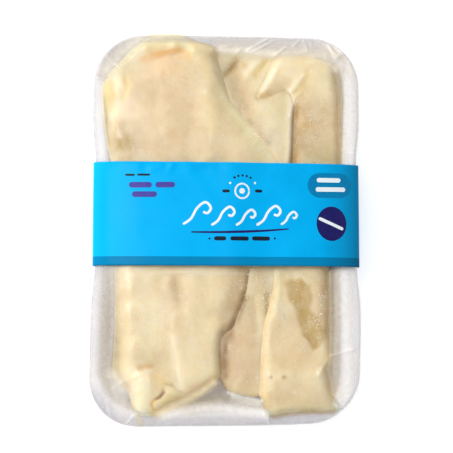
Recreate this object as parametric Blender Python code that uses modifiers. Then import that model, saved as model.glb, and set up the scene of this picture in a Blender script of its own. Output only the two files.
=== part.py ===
"""A retail pack of salt cod: a foam tray, three pieces of cod, a stretched clear film and a paper sleeve.

Run it with: blender --background --python part.py
X is the tray's width, Y its length and Z up. The pack rests on the sleeve's underside, at Z = 0.
Sizes are in millimetres, and TO_METRES turns them into Blender's units where a mesh is made.
"""

import math
from collections import namedtuple

import bmesh
import bpy
import numpy as np

TO_METRES = 0.001

# Driving dimensions
TRAY_WIDTH = 144.0
TRAY_LENGTH = 209.0
TRAY_HEIGHT = 26.0
RIM_CORNER_RADIUS = 26.0
FOAM = 3.2
SLEEVE_LENGTH = 55.0  # along Y
SLEEVE_MIDDLE_Y = 6.7
PAPER = 0.4
FILM = 0.3
GAP = 0.35  # clear space between neighbouring pieces

# Heights that follow
FILM_BASE_Z = PAPER + GAP  # the film's outer face, under the tray
TRAY_BASE_Z = FILM_BASE_Z + FILM + GAP
RIM_Z = TRAY_BASE_Z + TRAY_HEIGHT
FLOOR_Z = TRAY_BASE_Z + FOAM

# The tray's section
RIM_FLAT = 3.0
LIP_RUN = 1.2
LIP_DROP = 0.9
LIP_ROUNDING = 0.8
WALL_ANGLE = math.radians(72)
RIM_BEND_RADIUS = 4.6
FLOOR_FILLET_RADIUS = 4.0
BEND_STEPS = 3
CORNER_STEPS = 7
SIDE_CUTS = 9  # points along each long side, which follow the squeeze
SLEEVE_SQUEEZE = 2.2  # how far the sleeve pulls each side of the rim in
SQUEEZE_REACH = 42.0
SPACE_REACH = 3.0  # of the room for the cod beyond the rim's edge

# The film
FILM_COLUMNS = 18
FILM_ROWS = 26
FILM_CLEARANCE = 0.7  # over the cod
CORNER_CLEARANCE = 0.45  # more, round the tray's lower edge
FIELD_STEP = 2.0  # spacing of the grid on which the stretched film settles
SETTLE_STEPS = 160
LIFT_STEPS = 8
FACET_SAMPLES = 5  # along each side of a facet, where it is tested against the field
SEAM_LENGTH = 90.0  # of the opening that the folded ends leave under the sleeve
SEAM_WIDTH = 6.0

# The sleeve
CROWN_RISE = 7.0  # of the sleeve's middle above its rounded sides
CROWN_FULLNESS = 4.0
CROWN_STEPS = 24

COLOURS = {
    "foam": (0.83, 0.81, 0.84, 1.0),
    "cod": (0.80, 0.64, 0.40, 1.0),
    "film": (0.90, 0.92, 0.93, 0.3),
    "sleeve": (0.0, 0.44, 0.83, 1.0),
}

# The edges of a piece of cod at one place along the tray, and how high its back is above the rim.
Station = namedtuple("Station", "y left right back")
# A raised fold or, with a negative rise, a sunk crease: the points it runs through and its half width.
Fold = namedtuple("Fold", "route half_width rise")
Cod = namedtuple("Cod", "name stations folds columns rows")

SHOULDER_RADIUS = 7.0  # of a piece's rounded upper edges
SHOULDER_DROP = 6.0
END_RADIUS = 7.0
END_DRAW_IN = 3.5  # of each side at a piece's very end
MOST_DRAW_IN = 0.3  # of the piece's width
EVEN_SHARE = 0.6  # of a piece's grid steps that stay even, where the rest crowd towards its shoulders
SHARP_ANGLE = math.radians(40)

COD_LEFT = Cod(
    "cod_left",
    (
        Station(103.0, -38.0, -22.5, 1.8),
        Station(98.5, -48.5, -11.0, 3.0),
        Station(92.0, -55.0, -4.4, 3.3),
        Station(84.0, -62.5, -2.8, 3.5),
        Station(76.0, -66.0, -1.4, 3.6),
        Station(67.0, -66.5, 1.8, 3.3),
        Station(58.0, -65.5, 9.0, 3.0),
        Station(46.0, -63.6, 18.0, 2.9),
        Station(33.0, -61.2, 26.0, 2.8),
        Station(6.5, -60.5, 20.0, 2.8),
        Station(-21.5, -60.2, 12.0, 3.0),
        Station(-41.0, -59.6, 7.8, 3.3),
        Station(-52.0, -59.6, 3.4, 3.4),
        Station(-62.0, -60.0, -3.2, 3.3),
        Station(-74.0, -61.0, -3.8, 2.7),
        Station(-80.0, -59.0, -6.0, 2.4),
        Station(-88.0, -52.5, -19.5, 1.6),
        Station(-98.0, -47.0, -37.0, 0.2),
    ),
    (
        Fold(((-51, 89), (-35, 96), (-21, 95), (-8, 86), (-5, 65), (-6, 37)), 4.6, 2.2),
        Fold(((-44, 86.5), (-34, 89), (-24, 90)), 3.0, -3.0),
        Fold(((-14, 81), (-13, 68), (-15, 54), (-18, 39)), 3.6, -1.6),
        Fold(((-58, 79), (-57, 39)), 3.0, 1.0),
        Fold(((-56, -26), (-56, -67)), 4.0, 1.0),
        Fold(((-28, -24), (-29, -46), (-30, -60), (-27, -75), (-23, -85)), 3.0, -2.2),
        Fold(((-15, -32), (-12, -69)), 8.0, 1.4),
        Fold(((-53, -77), (-41, -74)), 3.0, -1.8),
        Fold(((-46, -85), (-43, -92)), 6.0, 2.6),
        Fold(((-31, -83), (-37, -92)), 3.2, -2.0),
    ),
    26,
    54,
)
COD_MIDDLE = Cod(
    "cod_middle",
    (
        Station(95.5, -1.0, 23.0, -0.8),
        Station(86.0, -1.0, 24.0, 0.3),
        Station(80.0, 0.2, 22.0, 0.9),
        Station(75.5, 1.0, 20.6, 1.5),
        Station(71.0, 2.4, 25.0, 1.9),
        Station(66.0, 5.0, 32.4, 2.1),
        Station(58.0, 11.4, 34.2, 2.4),
        Station(46.0, 20.2, 34.2, 2.4),
        Station(33.0, 27.6, 33.6, 2.2),
        Station(6.5, 21.6, 30.2, 1.4),
        Station(-21.5, 13.6, 25.2, 0.6),
        Station(-41.0, 9.6, 23.4, 0.1),
        Station(-52.0, 5.6, 20.6, -0.1),
        Station(-62.0, 0.2, 19.4, -0.6),
        Station(-80.0, 0.4, 18.6, -1.4),
        Station(-89.5, 4.0, 17.6, -3.2),
    ),
    (
        Fold(((7, 79), (8, 69)), 8.0, -3.6),
        Fold(((23, 65), (26, 51)), 8.0, 1.2),
        Fold(((33, 65), (32, 38)), 2.6, 1.0),
        Fold(((15, -32), (9, -62)), 5.0, 0.8),
    ),
    11,
    42,
)
COD_RIGHT = Cod(
    "cod_right",
    (
        Station(94.5, 26.5, 54.5, 1.0),
        Station(86.0, 26.0, 58.6, 2.2),
        Station(80.0, 23.8, 59.8, 2.2),
        Station(75.5, 22.4, 60.6, 2.1),
        Station(71.0, 26.8, 61.2, 2.0),
        Station(66.0, 34.2, 61.8, 1.9),
        Station(58.0, 35.8, 62.4, 1.8),
        Station(46.0, 35.8, 62.6, 1.9),
        Station(33.0, 35.4, 62.4, 2.0),
        Station(6.5, 31.8, 59.8, 2.2),
        Station(-21.5, 26.8, 55.6, 2.6),
        Station(-41.0, 25.0, 55.2, 2.9),
        Station(-52.0, 22.2, 55.0, 3.0),
        Station(-62.0, 21.0, 55.4, 2.8),
        Station(-80.0, 20.2, 54.4, 2.4),
        Station(-98.0, 22.0, 58.0, 0.5),
    ),
    (
        Fold(((28, 88), (23, 78)), 3.0, 1.6),
        Fold(((43, 86), (34, 72)), 2.6, 1.6),
        Fold(((30, 82), (36, 76)), 4.0, -1.0),
        Fold(((27, -24), (24, -54), (21, -85)), 3.0, 1.0),
        Fold(((44, -10), (48, -32), (51, -50)), 4.0, -0.8),
        Fold(((50, -77), (55, -69)), 3.0, 1.2),
    ),
    12,
    42,
)
COD_PIECES = (COD_LEFT, COD_MIDDLE, COD_RIGHT)


def clear_scene():
    for obj in list(bpy.data.objects):
        bpy.data.objects.remove(obj, do_unlink=True)


def collection(name):
    made = bpy.data.collections.new(name)
    bpy.context.scene.collection.children.link(made)
    return made


def material(name, roughness):
    made = bpy.data.materials.new(name)
    made.use_nodes = True
    shader = made.node_tree.nodes["Principled BSDF"]
    shader.inputs["Base Color"].default_value = COLOURS[name]
    shader.inputs["Alpha"].default_value = COLOURS[name][3]
    shader.inputs["Roughness"].default_value = roughness
    shader.inputs["Metallic"].default_value = 0.0
    return made


def object_from(bm, name, group, surface=None):
    """A mesh object in metres from a bmesh in millimetres, shaded smooth but for its sharp edges."""
    bmesh.ops.recalc_face_normals(bm, faces=bm.faces[:])
    bmesh.ops.scale(bm, vec=(TO_METRES,) * 3, verts=bm.verts[:])
    mesh = bpy.data.meshes.new(name)
    bm.to_mesh(mesh)
    bm.free()
    if surface:
        mesh.materials.append(surface)
        mesh.shade_smooth()
        mesh.set_sharp_from_angle(angle=SHARP_ANGLE)
    obj = bpy.data.objects.new(name, mesh)
    group.objects.link(obj)
    return obj


def solidify(obj, thickness, outward):
    shell = obj.modifiers.new("Thickness", "SOLIDIFY")
    shell.thickness = thickness * TO_METRES
    shell.offset = 1.0 if outward else -1.0
    shell.use_even_offset = True


def squeeze_factor(y, z=RIM_Z):
    """The share of its width that the pack keeps where the sleeve pulls it in. The tray's base keeps all."""
    height_share = np.clip((z - TRAY_BASE_Z) / TRAY_HEIGHT, 0.0, 1.0)
    pull = SLEEVE_SQUEEZE * np.exp(-(((y - SLEEVE_MIDDLE_Y) / SQUEEZE_REACH) ** 6))
    return 1.0 - height_share * pull / (TRAY_WIDTH / 2)


# The tray


def tray_section(clearance=0.0):
    """(inset from the rim's outer edge, z) of the tray's upper face, or of a face that far above it."""
    rim_z = RIM_Z + clearance
    bend_radius = RIM_BEND_RADIUS + clearance
    fillet_radius = FLOOR_FILLET_RADIUS - clearance
    bend_x = LIP_RUN + RIM_FLAT
    turns = [WALL_ANGLE * i / BEND_STEPS for i in range(BEND_STEPS + 1)]
    bend = [(bend_x + bend_radius * math.sin(a), rim_z - bend_radius * (1 - math.cos(a))) for a in turns]
    fillet_rise = fillet_radius * (1 - math.cos(WALL_ANGLE))
    wall_drop = bend[-1][1] - (FLOOR_Z + clearance + fillet_rise)
    foot_x = bend[-1][0] + wall_drop / math.tan(WALL_ANGLE)
    centre_x = foot_x + fillet_radius * math.sin(WALL_ANGLE)
    centre_z = FLOOR_Z + clearance + fillet_radius
    fillet = [(centre_x - fillet_radius * math.sin(a), centre_z - fillet_radius * math.cos(a)) for a in turns]
    return [(0.0, rim_z - LIP_DROP), (LIP_RUN, rim_z), *bend, *reversed(fillet)]


def outline_face(bm, grow, z):
    """The rim's outline, grown by that much, as one face. Its long sides carry points for the squeeze."""
    bmesh.ops.create_grid(bm, x_segments=1, y_segments=1, size=0.5)
    bmesh.ops.scale(bm, vec=(TRAY_WIDTH + 2 * grow, TRAY_LENGTH + 2 * grow, 1.0), verts=bm.verts[:])
    bmesh.ops.translate(bm, vec=(0.0, 0.0, z), verts=bm.verts[:])
    bmesh.ops.bevel(
        bm,
        geom=bm.verts[:],
        offset=RIM_CORNER_RADIUS + grow,
        offset_type="OFFSET",
        segments=CORNER_STEPS,
        profile=0.5,
        affect="VERTICES",
    )
    long_sides = [e for e in bm.edges if e.calc_length() > TRAY_LENGTH / 2]
    bmesh.ops.subdivide_edges(bm, edges=long_sides, cuts=SIDE_CUTS)
    return bmesh.ops.dissolve_faces(bm, faces=bm.faces[:])["region"]


def dish(bm, section, grow=0.0):
    """Insets the outline face down a section, ring by ring, to the floor."""
    inner = outline_face(bm, grow, section[0][1])
    for (last_x, last_z), (x, z) in zip(section, section[1:]):
        bmesh.ops.inset_region(bm, faces=inner, thickness=x - last_x, use_even_offset=True, use_boundary=True)
        bmesh.ops.translate(bm, vec=(0.0, 0.0, z - last_z), verts=list({v for f in inner for v in f.verts}))
    for vertex in bm.verts:
        vertex.co.x *= squeeze_factor(vertex.co.y, vertex.co.z)


def make_tray(group, surface):
    bm = bmesh.new()
    dish(bm, tray_section())
    tray = object_from(bm, "tray", group, surface)
    solidify(tray, FOAM, outward=False)
    lip = tray.modifiers.new("RoundedLip", "BEVEL")
    lip.width = LIP_ROUNDING * TO_METRES
    lip.segments = 1
    lip.limit_method = "ANGLE"
    lip.angle_limit = math.radians(60)


def make_tray_space(group):
    """A closed guide solid of the room above the tray, which trims the cod to the tray's inside."""
    section = tray_section(GAP)
    rim_z = section[1][1]
    bm = bmesh.new()
    dish(bm, [(-SPACE_REACH, rim_z), *section[1:]], grow=SPACE_REACH)
    made = bmesh.ops.extrude_edge_only(bm, edges=[e for e in bm.edges if e.is_boundary])["geom"]
    raised = [v for v in made if isinstance(v, bmesh.types.BMVert)]
    bmesh.ops.translate(bm, vec=(0.0, 0.0, TRAY_HEIGHT), verts=raised)
    bmesh.ops.contextual_create(bm, geom=[e for e in bm.edges if e.is_boundary])
    space = object_from(bm, "tray_space", group)
    space.hide_render = True
    space.display_type = "WIRE"
    return space


# The cod


def along_stations(y, stations, field):
    """A smooth curve through one field of the stations, whose y runs from high to low."""
    ys = np.array([s.y for s in reversed(stations)])
    values = np.array([getattr(s, field) for s in reversed(stations)])
    slopes = np.gradient(values, ys)
    y = np.clip(y, ys[0], ys[-1])
    i = np.clip(np.searchsorted(ys, y) - 1, 0, len(ys) - 2)
    step = ys[i + 1] - ys[i]
    t = (y - ys[i]) / step
    start = (2 * t**3 - 3 * t**2 + 1) * values[i] + (t**3 - 2 * t**2 + t) * step * slopes[i]
    return start + (3 * t**2 - 2 * t**3) * values[i + 1] + (t**3 - t**2) * step * slopes[i + 1]


def round_off(share):
    """How far a quarter circle has dropped at that share of its run."""
    return 1.0 - np.sqrt(np.clip(1.0 - np.clip(share, 0.0, 1.0) ** 2, 0.0, 1.0))


def to_end(y, cod):
    return np.minimum(cod.stations[0].y - y, y - cod.stations[-1].y)


def edges_at(y, cod):
    """The left and right edge of a piece at y, drawn in round its two ends."""
    left = along_stations(y, cod.stations, "left")
    right = along_stations(y, cod.stations, "right")
    draw_in = END_DRAW_IN * round_off(1.0 - to_end(y, cod) / END_RADIUS)
    draw_in = np.minimum(draw_in, (right - left) * MOST_DRAW_IN)
    return left + draw_in, right - draw_in


def distance_to_route(x, y, route):
    """The distance of each point to a route of straight pieces."""
    nearest = np.full(np.shape(x), np.inf)
    for (ax, ay), (bx, by) in zip(route, route[1:]):
        run_x, run_y = bx - ax, by - ay
        along = np.clip(((x - ax) * run_x + (y - ay) * run_y) / (run_x**2 + run_y**2), 0.0, 1.0)
        nearest = np.minimum(nearest, np.hypot(x - ax - along * run_x, y - ay - along * run_y))
    return nearest


def cod_top(x, y, cod):
    """The height of a piece's upper face at points inside its outline."""
    left, right = edges_at(y, cod)
    inside = np.minimum(np.minimum(x - left, right - x), to_end(y, cod))
    height = RIM_Z + along_stations(y, cod.stations, "back")
    for fold in cod.folds:
        height = height + fold.rise * np.exp(-((distance_to_route(x, y, fold.route) / fold.half_width) ** 2))
    return height - SHOULDER_DROP * round_off(1.0 - inside / SHOULDER_RADIUS)


def spread(t):
    """Even steps from 0 to 1, drawn closer together near both ends, where the shoulders are."""
    return EVEN_SHARE * t + (1.0 - EVEN_SHARE) * (1.0 - math.cos(math.pi * t)) / 2


def make_cod(cod, group, surface, space):
    """A slab with a sculpted back and upright sides, trimmed by the tray's room."""
    bm = bmesh.new()
    bmesh.ops.create_grid(bm, x_segments=cod.columns, y_segments=cod.rows, size=0.5)
    back = bm.faces[:]
    low, high = cod.stations[-1].y, cod.stations[0].y
    for vertex in bm.verts:
        y = low + (high - low) * spread(vertex.co.y + 0.5)
        left, right = edges_at(y, cod)
        x = left + (right - left) * spread(vertex.co.x + 0.5)
        vertex.co = (x, y, cod_top(x, y, cod))
    made = bmesh.ops.extrude_face_region(bm, geom=back, use_keep_orig=True)["geom"]
    base = [f for f in made if isinstance(f, bmesh.types.BMFace)]
    for vertex in {v for f in base for v in f.verts}:
        vertex.co.z = TRAY_BASE_Z
    bmesh.ops.dissolve_faces(bm, faces=base, use_verts=True)
    trim = object_from(bm, cod.name, group, surface).modifiers.new("TrimToTray", "BOOLEAN")
    trim.operation = "INTERSECT"
    trim.object = space


# The film


def rim_inset(x, y):
    """How far a point lies inside the rim's outer edge."""
    x = x / squeeze_factor(y)
    over_x = np.abs(x) - (TRAY_WIDTH / 2 - RIM_CORNER_RADIUS)
    over_y = np.abs(y) - (TRAY_LENGTH / 2 - RIM_CORNER_RADIUS)
    beyond = np.hypot(np.maximum(over_x, 0.0), np.maximum(over_y, 0.0))
    return RIM_CORNER_RADIUS - beyond - np.minimum(np.maximum(over_x, over_y), 0.0)


def settled_film():
    """The film's inner face as a field of heights: stretched flat from the rim, and held up by the cod."""
    xs = np.linspace(-TRAY_WIDTH / 2, TRAY_WIDTH / 2, round(TRAY_WIDTH / FIELD_STEP) + 1)
    ys = np.linspace(-TRAY_LENGTH / 2, TRAY_LENGTH / 2, round(TRAY_LENGTH / FIELD_STEP) + 1)
    x, y = np.meshgrid(xs, ys)
    held = np.where(rim_inset(x, y) < LIP_RUN + RIM_FLAT + FIELD_STEP, RIM_Z + GAP, 0.0)
    for cod in COD_PIECES:
        left, right = edges_at(y, cod)
        over = (x > left) & (x < right) & (to_end(y, cod) > 0.0)
        held = np.where(over, np.maximum(held, cod_top(x, y, cod) + FILM_CLEARANCE), held)
    height = np.maximum(held, RIM_Z + GAP)
    for _ in range(SETTLE_STEPS):
        around = height[:-2, 1:-1] + height[2:, 1:-1] + height[1:-1, :-2] + height[1:-1, 2:]
        height[1:-1, 1:-1] = np.maximum(around / 4, held[1:-1, 1:-1])
    return xs, ys, height


def field_value(x, y, field):
    """The height of a field at points between its own."""
    xs, ys, height = field
    u = np.clip((x - xs[0]) / (xs[1] - xs[0]), 0.0, len(xs) - 1.001)
    v = np.clip((y - ys[0]) / (ys[1] - ys[0]), 0.0, len(ys) - 1.001)
    i, j = u.astype(int), v.astype(int)
    a, b = u - i, v - j
    low = height[j, i] * (1 - a) + height[j, i + 1] * a
    high = height[j + 1, i] * (1 - a) + height[j + 1, i + 1] * a
    return low * (1 - b) + high * b


def lift_clear(bm, field):
    """Sets the film's vertices to the field, then raises them until the facets between them clear it."""
    steps = np.linspace(0.0, 1.0, FACET_SAMPLES)
    a, b = (part.ravel() for part in np.meshgrid(steps, steps))
    weights = np.stack([(1 - a) * (1 - b), a * (1 - b), a * b, (1 - a) * b])
    for vertex in bm.verts:
        vertex.co.z = float(field_value(np.array(vertex.co.x), np.array(vertex.co.y), field))
    for _ in range(LIFT_STEPS):
        for face in bm.faces:
            x, y, z = np.array([v.co for v in face.verts]).T @ weights
            short = float(np.max(field_value(x, y, field) - z))
            if short > 0.0:
                bmesh.ops.translate(bm, vec=(0.0, 0.0, short / 2), verts=face.verts[:])


def outline_point(u, v, grow):
    """The point of the grown outline that belongs to (u, v) on the edge of a square from -1 to 1."""
    radius = RIM_CORNER_RADIUS + grow
    half_x, half_y = TRAY_WIDTH / 2 + grow, TRAY_LENGTH / 2 + grow
    on_long_side = abs(u) >= abs(v)
    half, share = (half_y, abs(v)) if on_long_side else (half_x, abs(u))
    straight = half - radius
    run = share * (straight + radius * math.pi / 4)
    turn = max(run - straight, 0.0) / radius
    along = min(run, straight) + radius * math.sin(turn)
    across = radius * (1.0 - math.cos(turn))
    x, y = (half_x - across, along) if on_long_side else (along, half_y - across)
    return math.copysign(x, u), math.copysign(y, v)


def wrap_section(clear):
    """(growth of the outline, z) of a skin's inner face, that clear of the tray, from its lip to its base.

    It runs straight from the rim's foot to the tray's rounded lower edge and round that.
    """
    fillet_radius = FLOOR_FILLET_RADIUS + FOAM
    base_inset = tray_section()[-1][0]
    rim_foot_z = RIM_Z - FOAM
    tuck_angle = math.atan2(rim_foot_z - TRAY_BASE_Z - fillet_radius / 2, base_inset)
    turns = [tuck_angle * (1 - i / BEND_STEPS) for i in range(BEND_STEPS + 1)]
    reach = fillet_radius + CORNER_CLEARANCE + clear
    centre_z = TRAY_BASE_Z + fillet_radius + CORNER_CLEARANCE
    tuck = [(-base_inset + reach * math.sin(a), centre_z - reach * math.cos(a)) for a in turns]
    return [(clear, RIM_Z - LIP_DROP + clear / 2), (clear, rim_foot_z), *tuck]


def extrude_ring(bm):
    """Extrudes the mesh's open edge in place and returns the new vertices."""
    made = bmesh.ops.extrude_edge_only(bm, edges=[e for e in bm.edges if e.is_boundary])["geom"]
    return [v for v in made if isinstance(v, bmesh.types.BMVert)]


def make_film(group, surface):
    """A thin skin over the cod and round the rim to the base, open where its folded ends meet."""
    bm = bmesh.new()
    bmesh.ops.create_grid(bm, x_segments=FILM_COLUMNS, y_segments=FILM_ROWS, size=1.0)
    place = bm.verts.layers.float_vector.new("place")
    for vertex in bm.verts:
        ring = max(abs(vertex.co.x), abs(vertex.co.y))
        u, v = (vertex.co.x / ring, vertex.co.y / ring) if ring else (0.0, 0.0)
        vertex[place] = (u, v, 0.0)
        x, y = outline_point(u, v, -LIP_RUN)
        vertex.co = (x * ring * squeeze_factor(y * ring), y * ring, 0.0)
    lift_clear(bm, settled_film())
    for grow, z in wrap_section(GAP):
        for vertex in extrude_ring(bm):
            x, y = outline_point(vertex[place].x, vertex[place].y, grow)
            vertex.co = (x * squeeze_factor(y, z), y, z)
    for vertex in extrude_ring(bm):
        vertex.co.x = vertex[place].x * SEAM_LENGTH / 2
        vertex.co.y = SLEEVE_MIDDLE_Y + vertex[place].y * SEAM_WIDTH / 2
    solidify(object_from(bm, "film", group, surface), FILM, outward=True)


# The sleeve


def sleeve_section():
    """The sleeve's inner face in X and Z: a low crown, then down the sloped sides to a flat base."""
    end_y = SLEEVE_MIDDLE_Y + SLEEVE_LENGTH / 2
    wrap = [
        ((TRAY_WIDTH / 2 + grow) * squeeze_factor(end_y, z), z) for grow, z in wrap_section(GAP + FILM + GAP)
    ]
    half_rim = wrap[0][0]
    crown = []
    for i in range(CROWN_STEPS + 1):
        x = half_rim * math.sin(math.pi / 2 * i / CROWN_STEPS)
        rise = CROWN_RISE * math.sqrt(1.0 - (x / half_rim) ** CROWN_FULLNESS)
        crown.append((x, RIM_Z - LIP_DROP + rise))
    half = [*crown, *wrap[1:]]
    return half + [(-x, z) for x, z in reversed(half[1:])]


def make_sleeve(group, surface):
    """A closed paper band round the pack."""
    bm = bmesh.new()
    start = SLEEVE_MIDDLE_Y - SLEEVE_LENGTH / 2
    loop = [bm.verts.new((x, start, z)) for x, z in sleeve_section()]
    edges = [bm.edges.new((loop[i - 1], loop[i])) for i in range(len(loop))]
    made = bmesh.ops.extrude_edge_only(bm, edges=edges)["geom"]
    far_edge = [v for v in made if isinstance(v, bmesh.types.BMVert)]
    bmesh.ops.translate(bm, vec=(0.0, SLEEVE_LENGTH, 0.0), verts=far_edge)
    solidify(object_from(bm, "sleeve", group, surface), PAPER, outward=True)


def main():
    clear_scene()
    group = collection("salt_cod_pack")
    space = make_tray_space(collection("guides"))
    make_tray(group, material("foam", 0.6))
    flesh = material("cod", 0.35)
    for cod in COD_PIECES:
        make_cod(cod, group, flesh, space)
    make_film(group, material("film", 0.1))
    make_sleeve(group, material("sleeve", 0.3))


main()
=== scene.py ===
"""The look of a pack of salt cod: foam tray, three pieces of cod, stretched clear film and a printed paper sleeve.

X is the tray's width, Y its length and Z up, as in the frame. Sizes are in millimetres, and TO_METRES turns
them into Blender's units where a mesh is made.
"""

import math
from collections import namedtuple

import bmesh
import bpy
import numpy as np
from mathutils import Matrix, Vector
from mathutils.geometry import delaunay_2d_cdt


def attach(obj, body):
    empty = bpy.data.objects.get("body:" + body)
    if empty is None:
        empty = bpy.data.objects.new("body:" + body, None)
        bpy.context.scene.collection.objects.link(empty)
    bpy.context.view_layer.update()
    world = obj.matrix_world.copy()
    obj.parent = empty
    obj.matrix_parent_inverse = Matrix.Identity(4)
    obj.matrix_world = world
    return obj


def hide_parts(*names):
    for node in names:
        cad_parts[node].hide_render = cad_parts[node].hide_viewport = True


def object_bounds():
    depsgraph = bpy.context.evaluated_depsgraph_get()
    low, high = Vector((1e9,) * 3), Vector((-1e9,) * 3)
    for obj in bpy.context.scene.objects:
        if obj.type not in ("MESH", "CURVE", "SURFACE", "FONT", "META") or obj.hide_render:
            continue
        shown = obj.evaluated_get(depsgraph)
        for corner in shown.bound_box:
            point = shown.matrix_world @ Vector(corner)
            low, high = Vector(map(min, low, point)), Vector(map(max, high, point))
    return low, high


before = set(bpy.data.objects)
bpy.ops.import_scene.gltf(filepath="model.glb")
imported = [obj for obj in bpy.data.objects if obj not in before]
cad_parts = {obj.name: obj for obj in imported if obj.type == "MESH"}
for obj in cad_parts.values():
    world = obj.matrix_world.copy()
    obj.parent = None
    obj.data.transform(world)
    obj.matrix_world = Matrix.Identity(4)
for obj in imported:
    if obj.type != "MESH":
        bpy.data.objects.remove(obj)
cad_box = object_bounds()

TO_METRES = 0.001
BOX_MARGIN = 1e-5  # metres that the look stays inside the solids' box

# The pack's sizes, as in the CAD source
TRAY_WIDTH = 144.0
TRAY_LENGTH = 209.0
TRAY_HEIGHT = 26.0
RIM_CORNER_RADIUS = 26.0
FOAM = 3.2
SLEEVE_LENGTH = 55.0
SLEEVE_MIDDLE_Y = 6.7
PAPER = 0.4
FILM = 0.3
GAP = 0.35
TRAY_BASE_Z = PAPER + GAP + FILM + GAP
RIM_Z = TRAY_BASE_Z + TRAY_HEIGHT
FLOOR_Z = TRAY_BASE_Z + FOAM
RIM_FLAT = 3.0
LIP_RUN = 1.2
LIP_DROP = 0.9
WALL_ANGLE = math.radians(72)
RIM_BEND_RADIUS = 4.6
FLOOR_FILLET_RADIUS = 4.0
SLEEVE_SQUEEZE = 2.2
SQUEEZE_REACH = 42.0
CORNER_CLEARANCE = 0.45
SEAM_LENGTH = 90.0
SEAM_WIDTH = 6.0
CROWN_RISE = 7.0
CROWN_FULLNESS = 4.0

# The camera, as fitted to the photographed rim
FRAME_WIDTH_PX = 453
FOCAL_PX = 1208.0
SENSOR = 36.0
CAMERA_TARGET = (-0.4, 0.6, 27.0)
CAMERA_DIRECTION = (-0.0854, -0.0985, 0.9914)
CAMERA_DISTANCE = 645.0


# Shared shape helpers


def smooth_share(share):
    """An S-curve from 0 to 1."""
    share = np.clip(share, 0.0, 1.0)
    return share * share * (3.0 - 2.0 * share)


def bell(distance, reach):
    """A bump that is 1 at no distance and fades over the reach."""
    return np.exp(-((distance / reach) ** 2))


NOISE_CELLS = 64  # cells after which the noise repeats


def value_noise(x, y, size, seed):
    """Smooth noise from -1 to 1, with bumps about that size in millimetres."""
    table = np.random.default_rng(seed).uniform(-1.0, 1.0, (NOISE_CELLS, NOISE_CELLS))
    u, v = np.asarray(x) / size, np.asarray(y) / size
    i, j = np.floor(u).astype(int), np.floor(v).astype(int)
    a, b = (t**3 * (t * (t * 6 - 15) + 10) for t in (u - i, v - j))
    i, j, right, above = (k % NOISE_CELLS for k in (i, j, i + 1, j + 1))
    low = table[j, i] * (1 - a) + table[j, right] * a
    high = table[above, i] * (1 - a) + table[above, right] * a
    return low * (1 - b) + high * b


def squeeze_factor(y, z=RIM_Z):
    """The share of its width that the pack keeps where the sleeve pulls it in. The tray's base keeps all."""
    height_share = np.clip((z - TRAY_BASE_Z) / TRAY_HEIGHT, 0.0, 1.0)
    pull = SLEEVE_SQUEEZE * np.exp(-(((y - SLEEVE_MIDDLE_Y) / SQUEEZE_REACH) ** 6))
    return 1.0 - height_share * pull / (TRAY_WIDTH / 2)


# How far the stretched film pulls each corner of the tray, given by its sides in X and Y, towards its middle
CORNER_PULLS = ((-1, 1, 1.5), (1, -1, 2.0), (-1, -1, -0.7), (1, 1, 0.2))
PULL_REACH = 30.0
PULL_INSET = 8.0


def corner_shift(x, y):
    """The shift in X and Y of points near the tray's corners."""
    shift_x, shift_y = np.zeros(np.shape(x)), np.zeros(np.shape(x))
    for side_x, side_y, amount in CORNER_PULLS:
        corner_x, corner_y = side_x * (TRAY_WIDTH / 2 - PULL_INSET), side_y * (TRAY_LENGTH / 2 - PULL_INSET)
        weight = np.exp(-((x - corner_x) ** 2 + (y - corner_y) ** 2) / PULL_REACH**2)
        shift_x = shift_x - side_x * amount * weight / math.sqrt(2)
        shift_y = shift_y - side_y * amount * weight / math.sqrt(2)
    return shift_x, shift_y


def nearest_on_route(x, y, route):
    """Distance to a route, side of it (1 is left of its run), length along it and whole length."""
    nearest = np.full(np.shape(x), np.inf)
    side = np.ones(np.shape(x))
    along = np.zeros(np.shape(x))
    length = 0.0
    if len(route) == 1:
        return np.hypot(x - route[0][0], y - route[0][1]), side, along, 1.0
    for (ax, ay), (bx, by) in zip(route, route[1:]):
        run_x, run_y = bx - ax, by - ay
        run = math.hypot(run_x, run_y)
        share = np.clip(((x - ax) * run_x + (y - ay) * run_y) / run**2, 0.0, 1.0)
        distance = np.hypot(x - ax - share * run_x, y - ay - share * run_y)
        closer = distance < nearest
        nearest = np.where(closer, distance, nearest)
        side = np.where(closer, np.sign(run_x * (y - ay) - run_y * (x - ax)), side)
        along = np.where(closer, length + share * run, along)
        length += run
    return nearest, side, along, length


def near_route(x, y, route, reach):
    """How near points are to a route: 1 on it, fading over the reach."""
    return bell(nearest_on_route(x, y, route)[0], reach)


def smooth_route(points, step, closed=False):
    """Points about a step apart on a Catmull-Rom curve through the given ones, of any dimension."""
    points = np.array(points, dtype=float)
    count = len(points)
    made = []
    for i in range(count if closed else count - 1):
        a, b, c, d = (points[(i + k) % count if closed else min(max(i + k, 0), count - 1)] for k in (-1, 0, 1, 2))
        pieces = max(1, round(math.hypot(*(c - b)[:2]) / step))
        for t in np.arange(pieces) / pieces:
            curve = 2 * b + (c - a) * t + (2 * a - 5 * b + 4 * c - d) * t**2 + (3 * b - a - 3 * c + d) * t**3
            made.append(0.5 * curve)
    if not closed:
        made.append(points[-1])
    return np.array(made)


def round_off(share):
    """How far a quarter circle has dropped at that share of its run."""
    return 1.0 - np.sqrt(np.clip(1.0 - np.clip(share, 0.0, 1.0) ** 2, 0.0, 1.0))


# A raised fold or, with a negative rise, a sunk crease along a route
Stroke = namedtuple("Stroke", "half_width rise route")
# A flap's edge: the left side of its run stands higher by the rise, which fades over the reach
Step = namedtuple("Step", "rise reach route")
# A share that holds near a route
Share = namedtuple("Share", "radius share route")
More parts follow.
